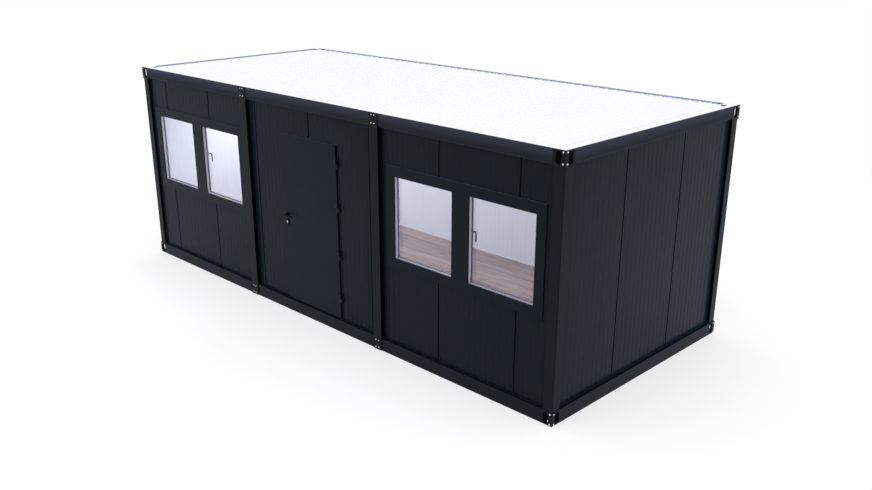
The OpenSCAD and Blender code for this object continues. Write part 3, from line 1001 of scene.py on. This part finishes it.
def bent_path(start: Array, first: Array, second: Array, run: float, bend: float, reach: float,
              tip: float) -> tuple[Array, Array]:
    """A straight run, a quarter bend and a second run whose end rounds off, nearly to a point.

    Args:
        start: where the path starts.
        first: unit direction of the first run.
        second: unit direction after the bend.
        run: length of the first run up to the corner of the two lines.
        bend: radius of the bend.
        reach: length of the second run from that corner to the tip.
        tip: length over which the end rounds off.

    Returns:
        Points of (n, 3), and the share of the full section at each.
    """
    turn = np.linspace(0.0, QUARTER, BEND_POINTS)
    arm = np.linspace(bend, reach - tip, ARM_POINTS + 1)[1:]
    close = np.linspace(0.0, QUARTER * TIP_SHARE, TIP_POINTS + 1)[1:]
    ahead = np.concatenate([[0.0, (run - bend) / 2], run - bend + bend * np.sin(turn),
                            np.full(ARM_POINTS + TIP_POINTS, run)])
    aside = np.concatenate([[0.0, 0.0], bend * (1 - np.cos(turn)), arm, reach - tip + tip * np.sin(close)])
    keep = np.append(np.ones(len(ahead) - TIP_POINTS), np.cos(close))
    return start + ahead[:, None] * first + aside[:, None] * second, keep


@dataclass(frozen=True)
class Button:
    """A low oval that sits a little way in a surface: its side rises to a height, and its rim slopes in to
    the top."""

    radius: float
    half_run: float
    bury: float
    side: float
    top: float
    share: float
    sides: int

    def grid(self) -> Array:
        """The oval's points, upright along the second axis."""
        rows = [[self.radius, -self.bury], [self.radius, self.side], [self.radius * self.share, self.top]]
        return oval(np.array(rows), self.half_run, self.sides)


# Sub-assemblies
@dataclass(frozen=True)
class Coats:
    """The finishes of the cabin's parts, by the record's slots, and those of the added pieces."""

    frame_steel: Finish = PowderCoat("frame_coat", FRAME_TONE)
    wall_panel: Finish = PanelSkin("panel_skin", (0.0052, 0.0086, 0.0130), (0.735, 0.765, 0.825),
                                   (DECK_HIGH.x, DECK_HIGH.y))
    # The smooth coat's strong pale tone on what faces up is mostly painted light on the ledges.
    smooth_trim: Finish = PowderCoat("smooth_coat", (0.0046, 0.0081, 0.0125), roughness=0.28,
                                     peel=Relief(420.0, 1.0, 0.00002), dust_and_top_light=0.36, painted_sheen=0.14)
    white_metal: Finish = WhiteSheet("roof_coat", (0.905, 0.915, 0.94))
    window_plastic: Finish = WindowPlastic("window_white")
    window_glass: Finish = ClearGlass("pane_glass")
    floor_laminate: Finish = Laminate("floor_boards")
    zinc_steel: Finish = Galvanised("zinc_spangle")
    hinge_steel: Finish = PowderCoat("hinge_coat", (0.0120, 0.0135, 0.0175), specular=0.09,
                                     peel=Relief(1100.0, 1.0, 0.00002), dust_and_top_light=0.03)
    black_plastic: Finish = MouldedPlastic("black_moulding")
    lock_metal: Finish = BrushedPlate("lock_plating")
    ceiling_white: Finish = CeilingBoard("ceiling_board")
    bolt_zinc: Finish = BrightZinc("bolt_zinc")
    rubber: Finish = SealRubber("seal_rubber")
    gasket: Finish = SealRubber("gasket_rubber", (0.045, 0.056, 0.105))
    filler: Finish = SealRubber("filler_foam", (0.25, 0.30, 0.44))
    # The roof rails' coat carries a painted highlight towards their top.
    roof_rail: Finish = PowderCoat("roof_rail_coat", (0.0150, 0.0170, 0.0200), roughness=0.60, painted_sheen=0.14,
                                   film_and_painted_light=(WALL_HIGH.z + 0.030, ROOF_HIGH.z + 0.011))

    def of(self, slot: Slot) -> Finish:
        """The finish of one slot."""
        return getattr(self, slot.value)


@dataclass
class CadParts:
    """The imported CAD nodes, which stay where they are and get their finishes."""

    coats: Coats
    rails: str = "roof_rail"

    def dress(self) -> None:
        """Gives every node the finish of the slot that its own material is named for, and the roof rails a
        coat of their own."""
        for name, node in frame["nodes"].items():
            for place in node.material_slots:
                finish = self.coats.of(Slot(place.material.name))
                if name.startswith(self.rails):
                    finish = self.coats.roof_rail
                place.material = finish.material()
                LOG.info("node %s wears %s", name, finish.name)


@dataclass
class FrameBolts:
    """Hexagon bolts with washers on the corner blocks and on the intermediate posts."""

    coats: Coats
    end_x: float = BLOCK_HIGH.x
    side_y: float = BLOCK_HIGH.y
    edge: float = 0.025
    block_heights: tuple[float, ...] = (0.017, 0.120, 2.477, 2.579)
    post_face: float = POST_FACE
    post_middles: tuple[float, ...] = POST_MIDDLES
    post_heights: tuple[float, ...] = (0.030, 0.112, 2.491, 2.576)
    post_pitch: float = 0.0225
    corner_flats: float = 0.0130
    post_flats: float = 0.0100
    washer_share: float = 1.3
    washer_t: float = 0.0014
    washer_rim: tuple[float, float] = (0.96, 0.7)
    head_t: float = 0.0046
    head_rim: tuple[float, float] = (0.9, 0.86)
    crown_share: float = 0.8
    sides: int = 12

    def head(self, flats: float) -> Array:
        """A washer's round rows, then a hexagon's rows whose radius is the half flats over the cosine of the
        angle from the nearest flat, then a chamfer and the top.

        Args:
            flats: width over the hexagon's flats.

        Returns:
            A grid of (7, sides, 3) with the height along the last axis.
        """
        half, top = flats / 2, self.washer_t + self.head_t
        washer = half * self.washer_share
        rows = np.array([[washer, 0.0], [washer, self.washer_rim[1] * self.washer_t],
                         [washer * self.washer_rim[0], self.washer_t], [half, self.washer_t],
                         [half, top * self.head_rim[1]], [half * self.head_rim[0], top],
                         [half * self.crown_share, top]])
        grid = turned(rows, self.sides)
        angle = np.arange(self.sides) * (math.tau / self.sides)
        hexagon = 1 / np.cos(angle % (math.pi / 3) - math.pi / 6)
        grid[3:5, :, :2] *= hexagon[None, :, None]
        return grid

    def corner_spots(self) -> Array:
        """Lists the bolts on both outer faces of all corner blocks, first the long sides, then the ends.

        Returns:
            Rows of a spot and its normal, of (n, 6).
        """
        places = list(product(BOTH_WAYS, BOTH_WAYS, self.block_heights))
        in_x, in_y = self.end_x - self.edge, self.side_y - self.edge
        rows = [(x * in_x, y * self.side_y, z, 0.0, y, 0.0) for x, y, z in places]
        rows += [(x * self.end_x, y * in_y, z, x, 0.0, 0.0) for x, y, z in places]
        return np.array(rows)

    def post_spots(self) -> Array:
        """The same at the heads and feet of the intermediate posts."""
        places = product(self.post_middles, (-self.post_pitch, self.post_pitch), BOTH_WAYS, self.post_heights)
        return np.array([(x + step, y * self.post_face, z, 0.0, y, 0.0) for x, step, y, z in places])

    def build(self) -> None:
        """Makes both sets of bolts."""
        for name, flats, spots in (("corner_bolts", self.corner_flats, self.corner_spots()),
                                   ("post_bolts", self.post_flats, self.post_spots())):
            bolts = Shell().add(facing(self.head(flats), *np.hsplit(spots, 2)))
            bolts.piece(name, self.coats.bolt_zinc, Body.CABIN, Slot.ZINC_STEEL)


@dataclass
class PanelSeals:
    """Black seals in the upright joints between the wall panels."""

    coats: Coats
    ends: tuple[float, float] = (WALL_LOW.z, WALL_HIGH.z)
    wall_x: float = WALL_HIGH.x
    wall_y: float = WALL_HIGH.y
    half_w: float = 0.009
    front: float = 0.014
    back: float = 0.0195
    round_points: int = 7
    frames: tuple[float, float] = (WINDOW_LOW.z, WINDOW_HIGH.z)
    door_top: float = DOOR_FRAME_TOP
    window_joints: tuple[float, ...] = (-3.0, -2.0, 2.0, 3.0)
    plain_joints: tuple[float, ...] = (-1.0, 1.0)
    door_joint: float = 0.0
    end_joints: tuple[float, ...] = (-0.5, 0.5)

    def section(self) -> Array:
        """A bead: a half round at the front of a square tail, as (across, out) points."""
        front = self.half_w * arc(math.pi, self.round_points) - [0.0, self.front]
        return np.concatenate([front, [[-self.half_w, -self.back], [self.half_w, -self.back]]])

    def runs(self) -> Array:
        """Lists the beads. Those of the front stop at the window frames and over the door.

        Returns:
            Rows as uprights() takes them.
        """
        low, high = self.ends
        parted = ((low, self.frames[0]), (self.frames[1], high))
        front = [(x, *stretch) for x in self.window_joints for stretch in parted]
        front += [(x, low, high) for x in self.plain_joints]
        front += [(self.door_joint, self.door_top, high)]
        rows = [(x, -self.wall_y, *stretch, *Side.FRONT.directions()) for x, *stretch in front]
        rows += [(x, self.wall_y, low, high, *Side.BACK.directions())
                 for x in (*self.window_joints, *self.plain_joints, self.door_joint)]
        rows += [(side.value[0] * self.wall_x, y, low, high, *side.directions())
                 for side in (Side.LEFT, Side.RIGHT) for y in self.end_joints]
        return np.array(rows)

    def build(self) -> None:
        """Makes the beads as one piece."""
        beads = Shell().add(uprights(self.runs(), self.section()))
        beads.piece("panel_seals", self.coats.rubber, Body.CABIN, Slot.BLACK_PLASTIC)


@dataclass
class PostShadeStrips:
    """Black strips that line the shadow gaps under the edges of the posts' faces, as painted shade."""

    coats: Coats
    ends: tuple[float, float] = (WALL_LOW.z + 0.0005, WALL_HIGH.z - 0.0005)
    wall_x: float = WALL_HIGH.x
    wall_y: float = WALL_HIGH.y
    gap: float = 0.036
    strip: float = 0.0015
    corner_inset: float = 0.039
    corner_deep: float = 0.0295
    post_middles: tuple[float, ...] = POST_MIDDLES
    post_web: float = 0.0265
    post_deep: float = 0.0455

    def section(self, deep: float) -> Array:
        """An angle of two thin strips as (across, out) points: one on the wall, one up the post's leg."""
        return np.array([[0.0, 0.0], [self.gap, 0.0], [self.gap, self.strip], [self.strip, self.strip],
                         [self.strip, deep], [0.0, deep]])

    def corner_runs(self) -> Array:
        """Lists the strips beside the corner posts, first along the long sides, then along the ends.

        Returns:
            Rows as uprights() takes them.
        """
        corners = list(product(BOTH_WAYS, BOTH_WAYS))
        leg_x, leg_y = self.wall_x - self.corner_inset, self.wall_y - self.corner_inset
        rows = [(x * leg_x, y * self.wall_y, *self.ends, -x, 0.0, 0.0, y) for x, y in corners]
        rows += [(x * self.wall_x, y * leg_y, *self.ends, 0.0, -y, x, 0.0) for x, y in corners]
        return np.array(rows)

    def post_runs(self) -> Array:
        """The same for both edges of the intermediate posts."""
        places = product(self.post_middles, BOTH_WAYS, BOTH_WAYS)
        return np.array([(middle + edge * self.post_web, y * self.wall_y, *self.ends, edge, 0.0, 0.0, y)
                         for middle, edge, y in places])

    def build(self) -> None:
        """Makes the strips as one piece."""
        strips = Shell().add(uprights(self.corner_runs(), self.section(self.corner_deep)))
        strips.add(uprights(self.post_runs(), self.section(self.post_deep)))
        # Painted shade: black strips put where the gaps lie in shade.
        strips.piece("post_shade_strips", self.coats.rubber, Body.CABIN, Slot.BLACK_PLASTIC)


@dataclass
class RoofFillers:
    """Foam strips that close the ends of the roof sheet's ribs against the trim, the caps on the ribs' ends
    along the back, where the roof drains, and the mouths of the drains."""

    coats: Coats
    half_run: float = ROOF_HIGH.x - 0.095
    edge_y: float = ROOF_HIGH.y + 0.0015
    low: float = ROOF_LOW.z - 0.0005
    high: float = ROOF_HIGH.z + 0.0056
    deep: float = 0.010
    nose: float = 0.003
    nose_points: int = 5
    ribs: int = 57
    rib_pitch: float = 0.119
    crown: float = 0.0126
    slope: float = 0.0080
    pan: float = ROOF_LOW.z + 0.0018
    cap_top: float = ROOF_HIGH.z + 0.0006
    cap_l: float = 0.026
    cap_bury: float = 0.001
    mouth: Button = Button(0.0056, 0.022, 0.0005, 0.0004, 0.0008, 0.9, 24)
    mouth_x: float = ROOF_HIGH.x - 0.126
    mouth_z: float = ROOF_HIGH.z - 0.0018

    def strips(self) -> None:
        """Carries a strip's section, square with a rounded upper nose, along the front and the back edge."""
        nose = [self.deep - self.nose, self.high - self.nose] + self.nose * arc(QUARTER, self.nose_points)
        section = np.concatenate([[[0.0, self.low], [self.deep, self.low]], nose, [[0.0, self.high]]])
        run = self.half_run * np.linspace(-1.0, 1.0, 3)
        shell = Shell()
        for side in (Side.FRONT, Side.BACK):
            y = side.value[1] * (self.edge_y - section[:, 0])
            shell.add(np.stack(np.broadcast_arrays(run[:, None], y, section[:, 1]), -1))
        shell.piece("roof_fillers", self.coats.filler, Body.CABIN, Slot.BLACK_PLASTIC)

    def caps(self) -> None:
        """Carries a rib's outline, drawn out by the cap's thickness, a short way along each rib's end."""
        middle = self.rib_pitch * (np.arange(self.ribs) - (self.ribs - 1) / 2)
        foot = self.crown + self.slope
        across = (middle[:, None] + [-foot, -self.crown, self.crown, foot])[:, None]
        height = np.array([self.pan, self.cap_top, self.cap_top, self.pan])
        along = self.edge_y - self.deep + self.cap_bury - np.array([[0.0], [self.cap_l]])
        shell = Shell().add(np.stack(np.broadcast_arrays(across, along, height), -1))
        shell.piece("rib_caps", self.coats.filler, Body.CABIN, Slot.BLACK_PLASTIC)

    def mouths(self) -> None:
        """Makes the drains' mouths as painted shade: dark lying ovals on the strips' faces beside the
        corners.
        """
        x, out = (v.ravel() for v in np.meshgrid([-self.mouth_x, self.mouth_x], BOTH_WAYS))
        spots = np.stack([x, out * (self.edge_y - self.deep), np.full_like(x, self.mouth_z)], -1)
        lying = self.mouth.grid()[..., [1, 0, 2]]
        shell = Shell().add(facing(lying, spots, -out[:, None] * TO_BACK))
        shell.piece("drain_mouths", self.coats.rubber, Body.CABIN, Slot.BLACK_PLASTIC)

    def build(self) -> None:
        """Makes strips, caps and mouths."""
        self.strips()
        self.caps()
        self.mouths()


@dataclass
class Windows:
    """Pane gaskets, glazing beads and handles of the four windows."""

    coats: Coats
    lefts: tuple[float, ...] = (-3.200, -2.180, 1.380, 2.400)
    width: float = 0.800
    sill: float = WINDOW_LOW.z + 0.045
    head: float = WINDOW_HIGH.z - 0.045
    show: float = 0.005
    pane_out: float = PANE_LOW.y
    pane_in: float = PANE_HIGH.y
    frame_in: float = WINDOW_HIGH.y
    gasket_w: float = 0.0020
    gasket_t: float = 0.0022
    gasket_bury: float = 0.0008
    gasket_points: int = 5
    bead_w: float = 0.005
    bead_foot: float = 0.002
    bead_soft: float = 0.001
    bead_bury: float = 0.0006
    handle_share: float = 0.577
    handle_in: float = -0.011
    handle_l: float = 0.105
    handle_stand: float = 0.058
    handle_bend: float = 0.026
    grip: float = 0.0082
    grip_neck: float = 0.03
    grip_wide: tuple[float, ...] = (1.12, 1.0, 0.95)
    grip_flat: float = 0.82
    grip_tip: float = 0.010
    grip_root: float = 0.4
    grip_sides: int = 16
    plate_r: float = 0.014
    plate_t: float = 0.008
    plate_run: float = 0.019
    plate_shares: Pairs = ((1.0, 0.0), (1.0, 0.55), (0.9, 0.9), (0.72, 1.0))
    plate_sides: int = 32

    def clear(self) -> tuple[Array, Array]:
        """Finds the frames' clear openings.

        Returns:
            Their low and their high corners (x, z), each of (4, 2).
        """
        left = np.array(self.lefts) + self.show
        low = np.stack([left, np.full(len(left), self.sill + self.show)], -1)
        return low, low + np.array([self.width, self.head - self.sill]) - 2 * self.show

    def gaskets(self) -> None:
        """Makes the dark gaskets outside the panes: a quarter round in the corner of pane and frame."""
        w, t, bury = self.gasket_w, self.gasket_t, self.gasket_bury
        curve = arc(QUARTER, self.gasket_points) * [w, -t]
        section = np.concatenate([curve, [[-bury, -t], [-bury, bury], [w, bury]]]) + [0.0, self.pane_out]
        shell = Shell().add(loops(*self.clear(), section), close_rows=True)
        shell.piece("pane_gaskets", self.coats.gasket, Body.CABIN, Slot.BLACK_PLASTIC)

    def beads(self) -> None:
        """Makes the white beads that hold the panes from the room: a wedge with a soft nose."""
        w, foot, soft, bury = self.bead_w, self.bead_foot, self.bead_soft, self.bead_bury
        section = np.array([
            [-bury, self.pane_in], [w, self.pane_in], [w, self.pane_in + foot],
            [w - soft, self.pane_in + 2 * foot], [2 * soft, self.frame_in - bury],
            [-bury, self.frame_in - bury / 2]])
        shell = Shell().add(loops(*self.clear(), section), close_rows=True)
        shell.piece("glazing_beads", self.coats.window_plastic, Body.CABIN, Slot.WINDOW_PLASTIC)

    def handles(self) -> None:
        """Makes the handles of every second window: an oval base plate, and a flattened grip carried along a
        bend."""
        z = self.sill + self.handle_share * (self.head - self.sill)
        spots = np.array([[left + self.handle_in, self.frame_in, z] for left in self.lefts[1::2]])
        plate = oval(np.array(self.plate_shares) * [self.plate_r, self.plate_t], self.plate_run,
                     self.plate_sides)
        root = self.grip_root * self.plate_t
        path, keep = bent_path(root * TO_BACK, TO_BACK, -UP, self.handle_stand - root, self.handle_bend,
                               self.handle_l + self.grip, self.grip_tip)
        wide = np.interp(path[:, 2], [-self.handle_l, -self.grip_neck, 0.0], self.grip_wide)
        grip = tube(path, TO_RIGHT, self.grip * wide * keep, self.grip * self.grip_flat * keep,
                    self.grip_sides)
        shell = Shell().add(facing(plate, spots, np.tile(TO_BACK, (len(spots), 1))))
        shell.add(spots[:, None, None] + grip[None])
        shell.piece("window_grips", self.coats.black_plastic, Body.CABIN, Slot.BLACK_PLASTIC,
                    replaces=("window_handles",))

    def build(self) -> None:
        """Makes all pieces of the windows."""
        self.gaskets()
        self.beads()
        self.handles()


@dataclass
class Door:
    """Lever, plates, seal and small parts of the door."""

    coats: Coats
    leaf_left: float = LEAF_LOW.x
    leaf_right: float = LEAF_HIGH.x
    leaf_out: float = LEAF_LOW.y
    leaf_in: float = LEAF_HIGH.y
    leaf_top: float = LEAF_HIGH.z
    lever_x: float = JOINT_PLACES["lever_turn"].x
    lever_z: float = JOINT_PLACES["lever_turn"].z
    lever_l: float = 0.150
    lever_stand: float = 0.052
    lever_root: float = 0.001
    lever_bend: float = 0.017
    lever_tip: float = 0.008
    lever_sides: int = 24
    neck_r: float = 0.0088
    arm_stations: tuple[float, ...] = (0.0, 0.02, 0.06)
    arm_tall: tuple[float, ...] = (1.0, 1.0, 1.12, 1.05)
    arm_thick: tuple[float, ...] = (1.0, 0.95, 0.76, 0.72)
    rose_r: float = 0.026
    rose_hole: float = 0.0096
    rose_soft: float = 0.001
    rose_sides: int = 48
    plate_r: float = 0.022
    plate_run: float = 0.018
    plate_drop: float = 0.006
    plate_t: float = 0.008
    plate_sides: int = 40
    plate_rim: Pairs = ((0.0, 0.0), (0.0, 0.55), (-0.0012, 0.85), (-0.0042, 1.0))
    lock_out: float = LOCK_LOW.y
    lock_in: float = LOCK_HIGH.y
    lock_z: float = LOCK_HIGH.z - 0.0085
    keyway: Button = Button(0.0010, 0.0036, 0.0005, 0.0002, 0.0003, 0.8, 12)
    keyway_drop: float = 0.001
    stop_cover: float = 0.013
    stop_y: float = LEAF_HIGH.y + 0.006
    sill: float = SILL_HIGH.z
    seal_w: float = 0.0045
    seal_t: float = 0.0042
    seal_bury: float = 0.0005
    seal_points: int = 9
    jamb_left: float = SILL_LOW.x
    face_plate: Button = Button(0.010, 0.105, 0.0006, 0.0002, 0.0004, 0.96, 32)
    strike: Button = Button(0.010, 0.080, 0.0006, 0.0002, 0.0004, 0.96, 32)
    latch: Button = Button(0.006, 0.006, 0.0, 0.0006, 0.0009, 13 / 15, 24)
    hinge_x: float = JOINT_PLACES["door_swing"].x
    hinge_y: float = JOINT_PLACES["door_swing"].y
    hinge_r: float = 0.010
    hinge_heights: tuple[float, ...] = (0.3955, 0.9065, 1.4626, 1.9536)
    hinge_top: float = 0.0445
    hinge_low: float = -0.044
    cap_rows: Pairs = ((1.0, -0.0005), (1.0, 0.0012), (0.88, 0.0034), (0.55, 0.0050), (0.2, 0.0055))
    cap_sides: int = 24
    flag_face: float = LEAF_LOW.y - 0.005
    flag_steps: Pairs = ((-0.012, 0.032), (-0.029, 0.012))
    screw_rows: Pairs = ((0.0042, -0.0004), (0.0042, 0.0004), (0.0034, 0.0010), (0.0014, 0.0013))
    screw_sides: int = 16

    def both_faces(self, y_out: float, y_in: float, z: float) -> tuple[Array, Array]:
        """Spots on two planes, over each other with the lever's axis, with the normals away from the leaf."""
        return np.array([[self.lever_x, y_out, z], [self.lever_x, y_in, z]]), np.array([-TO_BACK, TO_BACK])

    def lever(self) -> None:
        """Makes both grips: a round neck out of the rose, a bend, and a flattened arm that rounds off."""
        shell = Shell()
        stations = (*self.arm_stations, self.lever_l)
        for plane, out in ((self.leaf_out, -1.0), (self.leaf_in, 1.0)):
            start = np.array([self.lever_x, plane + out * self.lever_root, self.lever_z])
            path, keep = bent_path(start, out * TO_BACK, TO_RIGHT, self.lever_stand - self.lever_root,
                                   self.lever_bend, self.lever_l, self.lever_tip)
            along = path[:, 0] - self.lever_x
            tall = np.interp(along, stations, self.arm_tall) * self.neck_r
            thick = np.interp(along, stations, self.arm_thick) * self.neck_r
            shell.add(tube(path, UP, tall * keep, thick * keep, self.lever_sides))
        shell.piece("lever_grips", self.coats.black_plastic, Body.LEVER, Slot.BLACK_PLASTIC,
                    replaces=("door_lever",))

    def plates(self) -> None:
        """Makes roses and lock plates: a ring and an oval, each with a rounded rim."""
        t, hole, soft = self.plate_t, self.rose_hole, self.rose_soft
        rim = np.array(self.plate_rim) * [1.0, t]
        ring = np.concatenate([[[hole, 0.0]], rim + [self.rose_r, 0.0], [[hole + soft, t], [hole, t - soft]]])
        plate = oval(rim + [self.plate_r, 0.0], self.plate_run, self.plate_sides)
        shell = Shell()
        shell.add(facing(turned(ring, self.rose_sides),
                         *self.both_faces(self.leaf_out, self.leaf_in, self.lever_z)), close_rows=True)
        shell.add(facing(plate, *self.both_faces(self.leaf_out, self.leaf_in, self.lock_z - self.plate_drop)))
        shell.piece("lock_roses", self.coats.black_plastic, Body.DOOR, Slot.BLACK_PLASTIC,
                    replaces=("lock_plates",))

    def keyways(self) -> None:
        """Makes the keyways on both ends of the lock cylinder as painted shade: dark ovals."""
        places = self.both_faces(self.lock_out, self.lock_in, self.lock_z - self.keyway_drop)
        shell = Shell().add(facing(self.keyway.grid(), *places))
        shell.piece("keyways", self.coats.rubber, Body.DOOR, Slot.BLACK_PLASTIC)

    def seal(self) -> None:
        """Makes the frame's seal: a half round carried up one jamb, along the head and down the other."""
        w, bury = self.seal_w, self.seal_bury
        curve = arc(math.pi, self.seal_points) * [w, -self.seal_t]
        inset, depth = (np.concatenate([curve, [[-w, bury], [w, bury]]]) + [0.0, self.stop_y]).T
        middle = self.stop_cover / 2
        left, right = self.leaf_left + middle + inset, self.leaf_right - middle - inset
        foot, head = np.full_like(inset, self.sill), self.leaf_top - middle - inset
        x, z = np.stack([left, left, right, right]), np.stack([foot, head, head, foot])
        shell = Shell().add(np.stack([x, np.broadcast_to(depth, x.shape), z], -1))
        shell.piece("door_seal", self.coats.rubber, Body.CABIN, Slot.BLACK_PLASTIC)

    def lock_case(self) -> None:
        """Makes the lock's face plate and latch in the leaf's edge, and the strike plate in the jamb."""
        middle = (self.leaf_out + self.leaf_in) / 2
        z = (self.lever_z + self.lock_z) / 2
        left = -TO_RIGHT[None]
        case = Shell()
        for button, height in ((self.face_plate, z), (self.latch, self.lever_z)):
            case.add(facing(button.grid(), np.array([[self.leaf_left, middle, height]]), left))
        case.piece("lock_face", self.coats.lock_metal, Body.DOOR, Slot.LOCK_METAL)
        strike = Shell().add(facing(self.strike.grid(), np.array([[self.jamb_left, middle, z]]), -left))
        strike.piece("strike_plate", self.coats.lock_metal, Body.CABIN, Slot.LOCK_METAL)

    def hinge_caps(self) -> None:
        """Makes domed caps on both ends of the hinges, and the screws in the leaf's flags."""
        dome = turned(np.array(self.cap_rows) * [self.hinge_r, 1.0], self.cap_sides)
        feet = np.array([[self.hinge_x, self.hinge_y, z] for z in self.hinge_heights])[:, None, None]
        spots = np.array([[self.leaf_right + dx, self.flag_face, z + dz] for z in self.hinge_heights
                          for dx, dz in self.flag_steps])
        screw = turned(np.array(self.screw_rows), self.screw_sides)
        tops = Shell().add(feet + UP * self.hinge_top + dome)
        tops.add(facing(screw, spots, np.tile(-TO_BACK, (len(spots), 1))))
        tops.piece("hinge_caps_upper", self.coats.hinge_steel, Body.DOOR, Slot.HINGE_STEEL)
        lows = Shell().add(feet + UP * self.hinge_low + dome * [1.0, 1.0, -1.0])
        lows.piece("hinge_caps_lower", self.coats.hinge_steel, Body.CABIN, Slot.HINGE_STEEL)

    def build(self) -> None:
        """Makes all pieces of the door."""
        self.lever()
        self.plates()
        self.keyways()
        self.seal()
        self.lock_case()
        self.hinge_caps()


# Studio
@dataclass
class Studio:
    """Floor, light and camera."""

    floor_half: float = 160.0
    floor_points: int = 5
    ambient: float = 1.0
    sun_power: float = 0.30
    sun_from: Point = (-0.42, -0.40, 0.82)
    sun_height: float = 10.0
    sun_spread: float = 80.0
    lamp_powers: tuple[float, ...] = (52.0, 27.0, 25.0)
    lamp_z: float = 2.42
    lamp_size: tuple[float, float] = (1.5, 1.6)
    lamp_xs: tuple[float, ...] = (-2.3, 0.0, 2.3)
    image: tuple[int, int] = (872, 490)
    focal_px: float = 907.3
    centre_px: tuple[float, float] = (429.65, 267.52)
    turn: float = 0.7830
    tilt: float = 0.3547
    eye: Point = (7.8786, -7.4932, 4.2890)
    sensor: float = 36.0
    clip: float = 1000.0

    def floor(self) -> None:
        """Lays the floor, a grid of points on the level z = 0."""
        line = np.linspace(-self.floor_half, self.floor_half, self.floor_points)
        x, y = np.meshgrid(line, line, indexing="ij")
        shell = Shell().add(np.stack([x, y, np.zeros_like(x)], -1), close_cols=False)
        mesh = bpy.data.meshes.new("studio_floor")
        mesh.from_pydata(shell.points[0].tolist(), [], [face[::-1] for face in shell.faces])
        mesh.materials.append(StudioFloor("studio_floor").material())
        made = bpy.data.objects.new("studio_floor", mesh)
        bpy.context.scene.collection.objects.link(made)

    def world(self) -> None:
        """White all round for rays that show it, and a plain level of light from it."""
        made = bpy.data.worlds.new("studio")
        bpy.context.scene.world = made
        made.use_nodes = True
        graph = Graph(made.node_tree)
        light = graph.node("ShaderNodeBackground", None, {
            "Color": (1.0, 1.0, 1.0), "Strength": self.ambient + (1 - self.ambient) * graph.seen()})
        graph.node("ShaderNodeOutputWorld", None, {"Surface": light})

    def lamp(self, name: str, kind: str, power: float, place: Point, aim: Point) -> bpy.types.Light:
        """Adds a lamp.

        Args:
            name: the lamp's name.
            kind: SUN or AREA.
            power: its strength.
            place: where it stands.
            aim: the direction that it shines in.

        Returns:
            The lamp's data.
        """
        data = bpy.data.lights.new(name, kind)
        data.energy = power
        made = bpy.data.objects.new(name, data)
        made.location = place
        made.rotation_euler = Vector(aim).to_track_quat("-Z", "Y").to_euler()
        made.visible_camera = False
        bpy.context.scene.collection.objects.link(made)
        return data

    def lamps(self) -> None:
        """A wide soft sun outside, and three soft lamps under the ceiling."""
        away = tuple(-v for v in self.sun_from)
        sun = self.lamp("sun", "SUN", self.sun_power, (0.0, 0.0, self.sun_height), away)
        sun.angle = math.radians(self.sun_spread)
        for number, (x, power) in enumerate(zip(self.lamp_xs, self.lamp_powers)):
            data = self.lamp(f"room_{number}", "AREA", power, (x, 0.0, self.lamp_z), (0.0, 0.0, -1.0))
            data.shape = "RECTANGLE"
            data.size, data.size_y = self.lamp_size

    def camera(self) -> None:
        """Sets the camera: right is the turn in plan, forward dips by the tilt."""
        right = Vector((math.cos(self.turn), math.sin(self.turn), 0.0))
        ahead = Vector((-math.sin(self.turn) * math.cos(self.tilt), math.cos(self.turn) * math.cos(self.tilt),
                        -math.sin(self.tilt)))
        up = right.cross(ahead)
        data = bpy.data.cameras.new("camera")
        data.sensor_fit = "HORIZONTAL"
        data.sensor_width = self.sensor
        data.lens = self.sensor * self.focal_px / self.image[0]
        data.shift_x = (self.image[0] / 2 - self.centre_px[0]) / self.image[0]
        data.shift_y = (self.centre_px[1] - self.image[1] / 2) / self.image[0]
        data.clip_end = self.clip
        made = bpy.data.objects.new("camera", data)
        columns = Matrix((right, up, -ahead)).transposed()
        made.matrix_world = Matrix.Translation(self.eye) @ columns.to_4x4()
        bpy.context.scene.collection.objects.link(made)
        bpy.context.scene.camera = made

    def build(self) -> None:
        """Sets up the whole studio."""
        bpy.context.scene.view_settings.view_transform = "Standard"
        self.camera()
        self.floor()
        self.world()
        self.lamps()


def main() -> None:
    """Builds the studio, dresses the CAD parts and adds the pieces."""
    logging.basicConfig(level=logging.INFO, format="%(message)s")
    coats = Coats()
    Studio().build()
    CadParts(coats).dress()
    for assembly in (FrameBolts, PanelSeals, PostShadeStrips, RoofFillers, Windows, Door):
        LOG.info("building %s", assembly.__name__)
        assembly(coats).build()


if __name__ == "__main__":
    main()
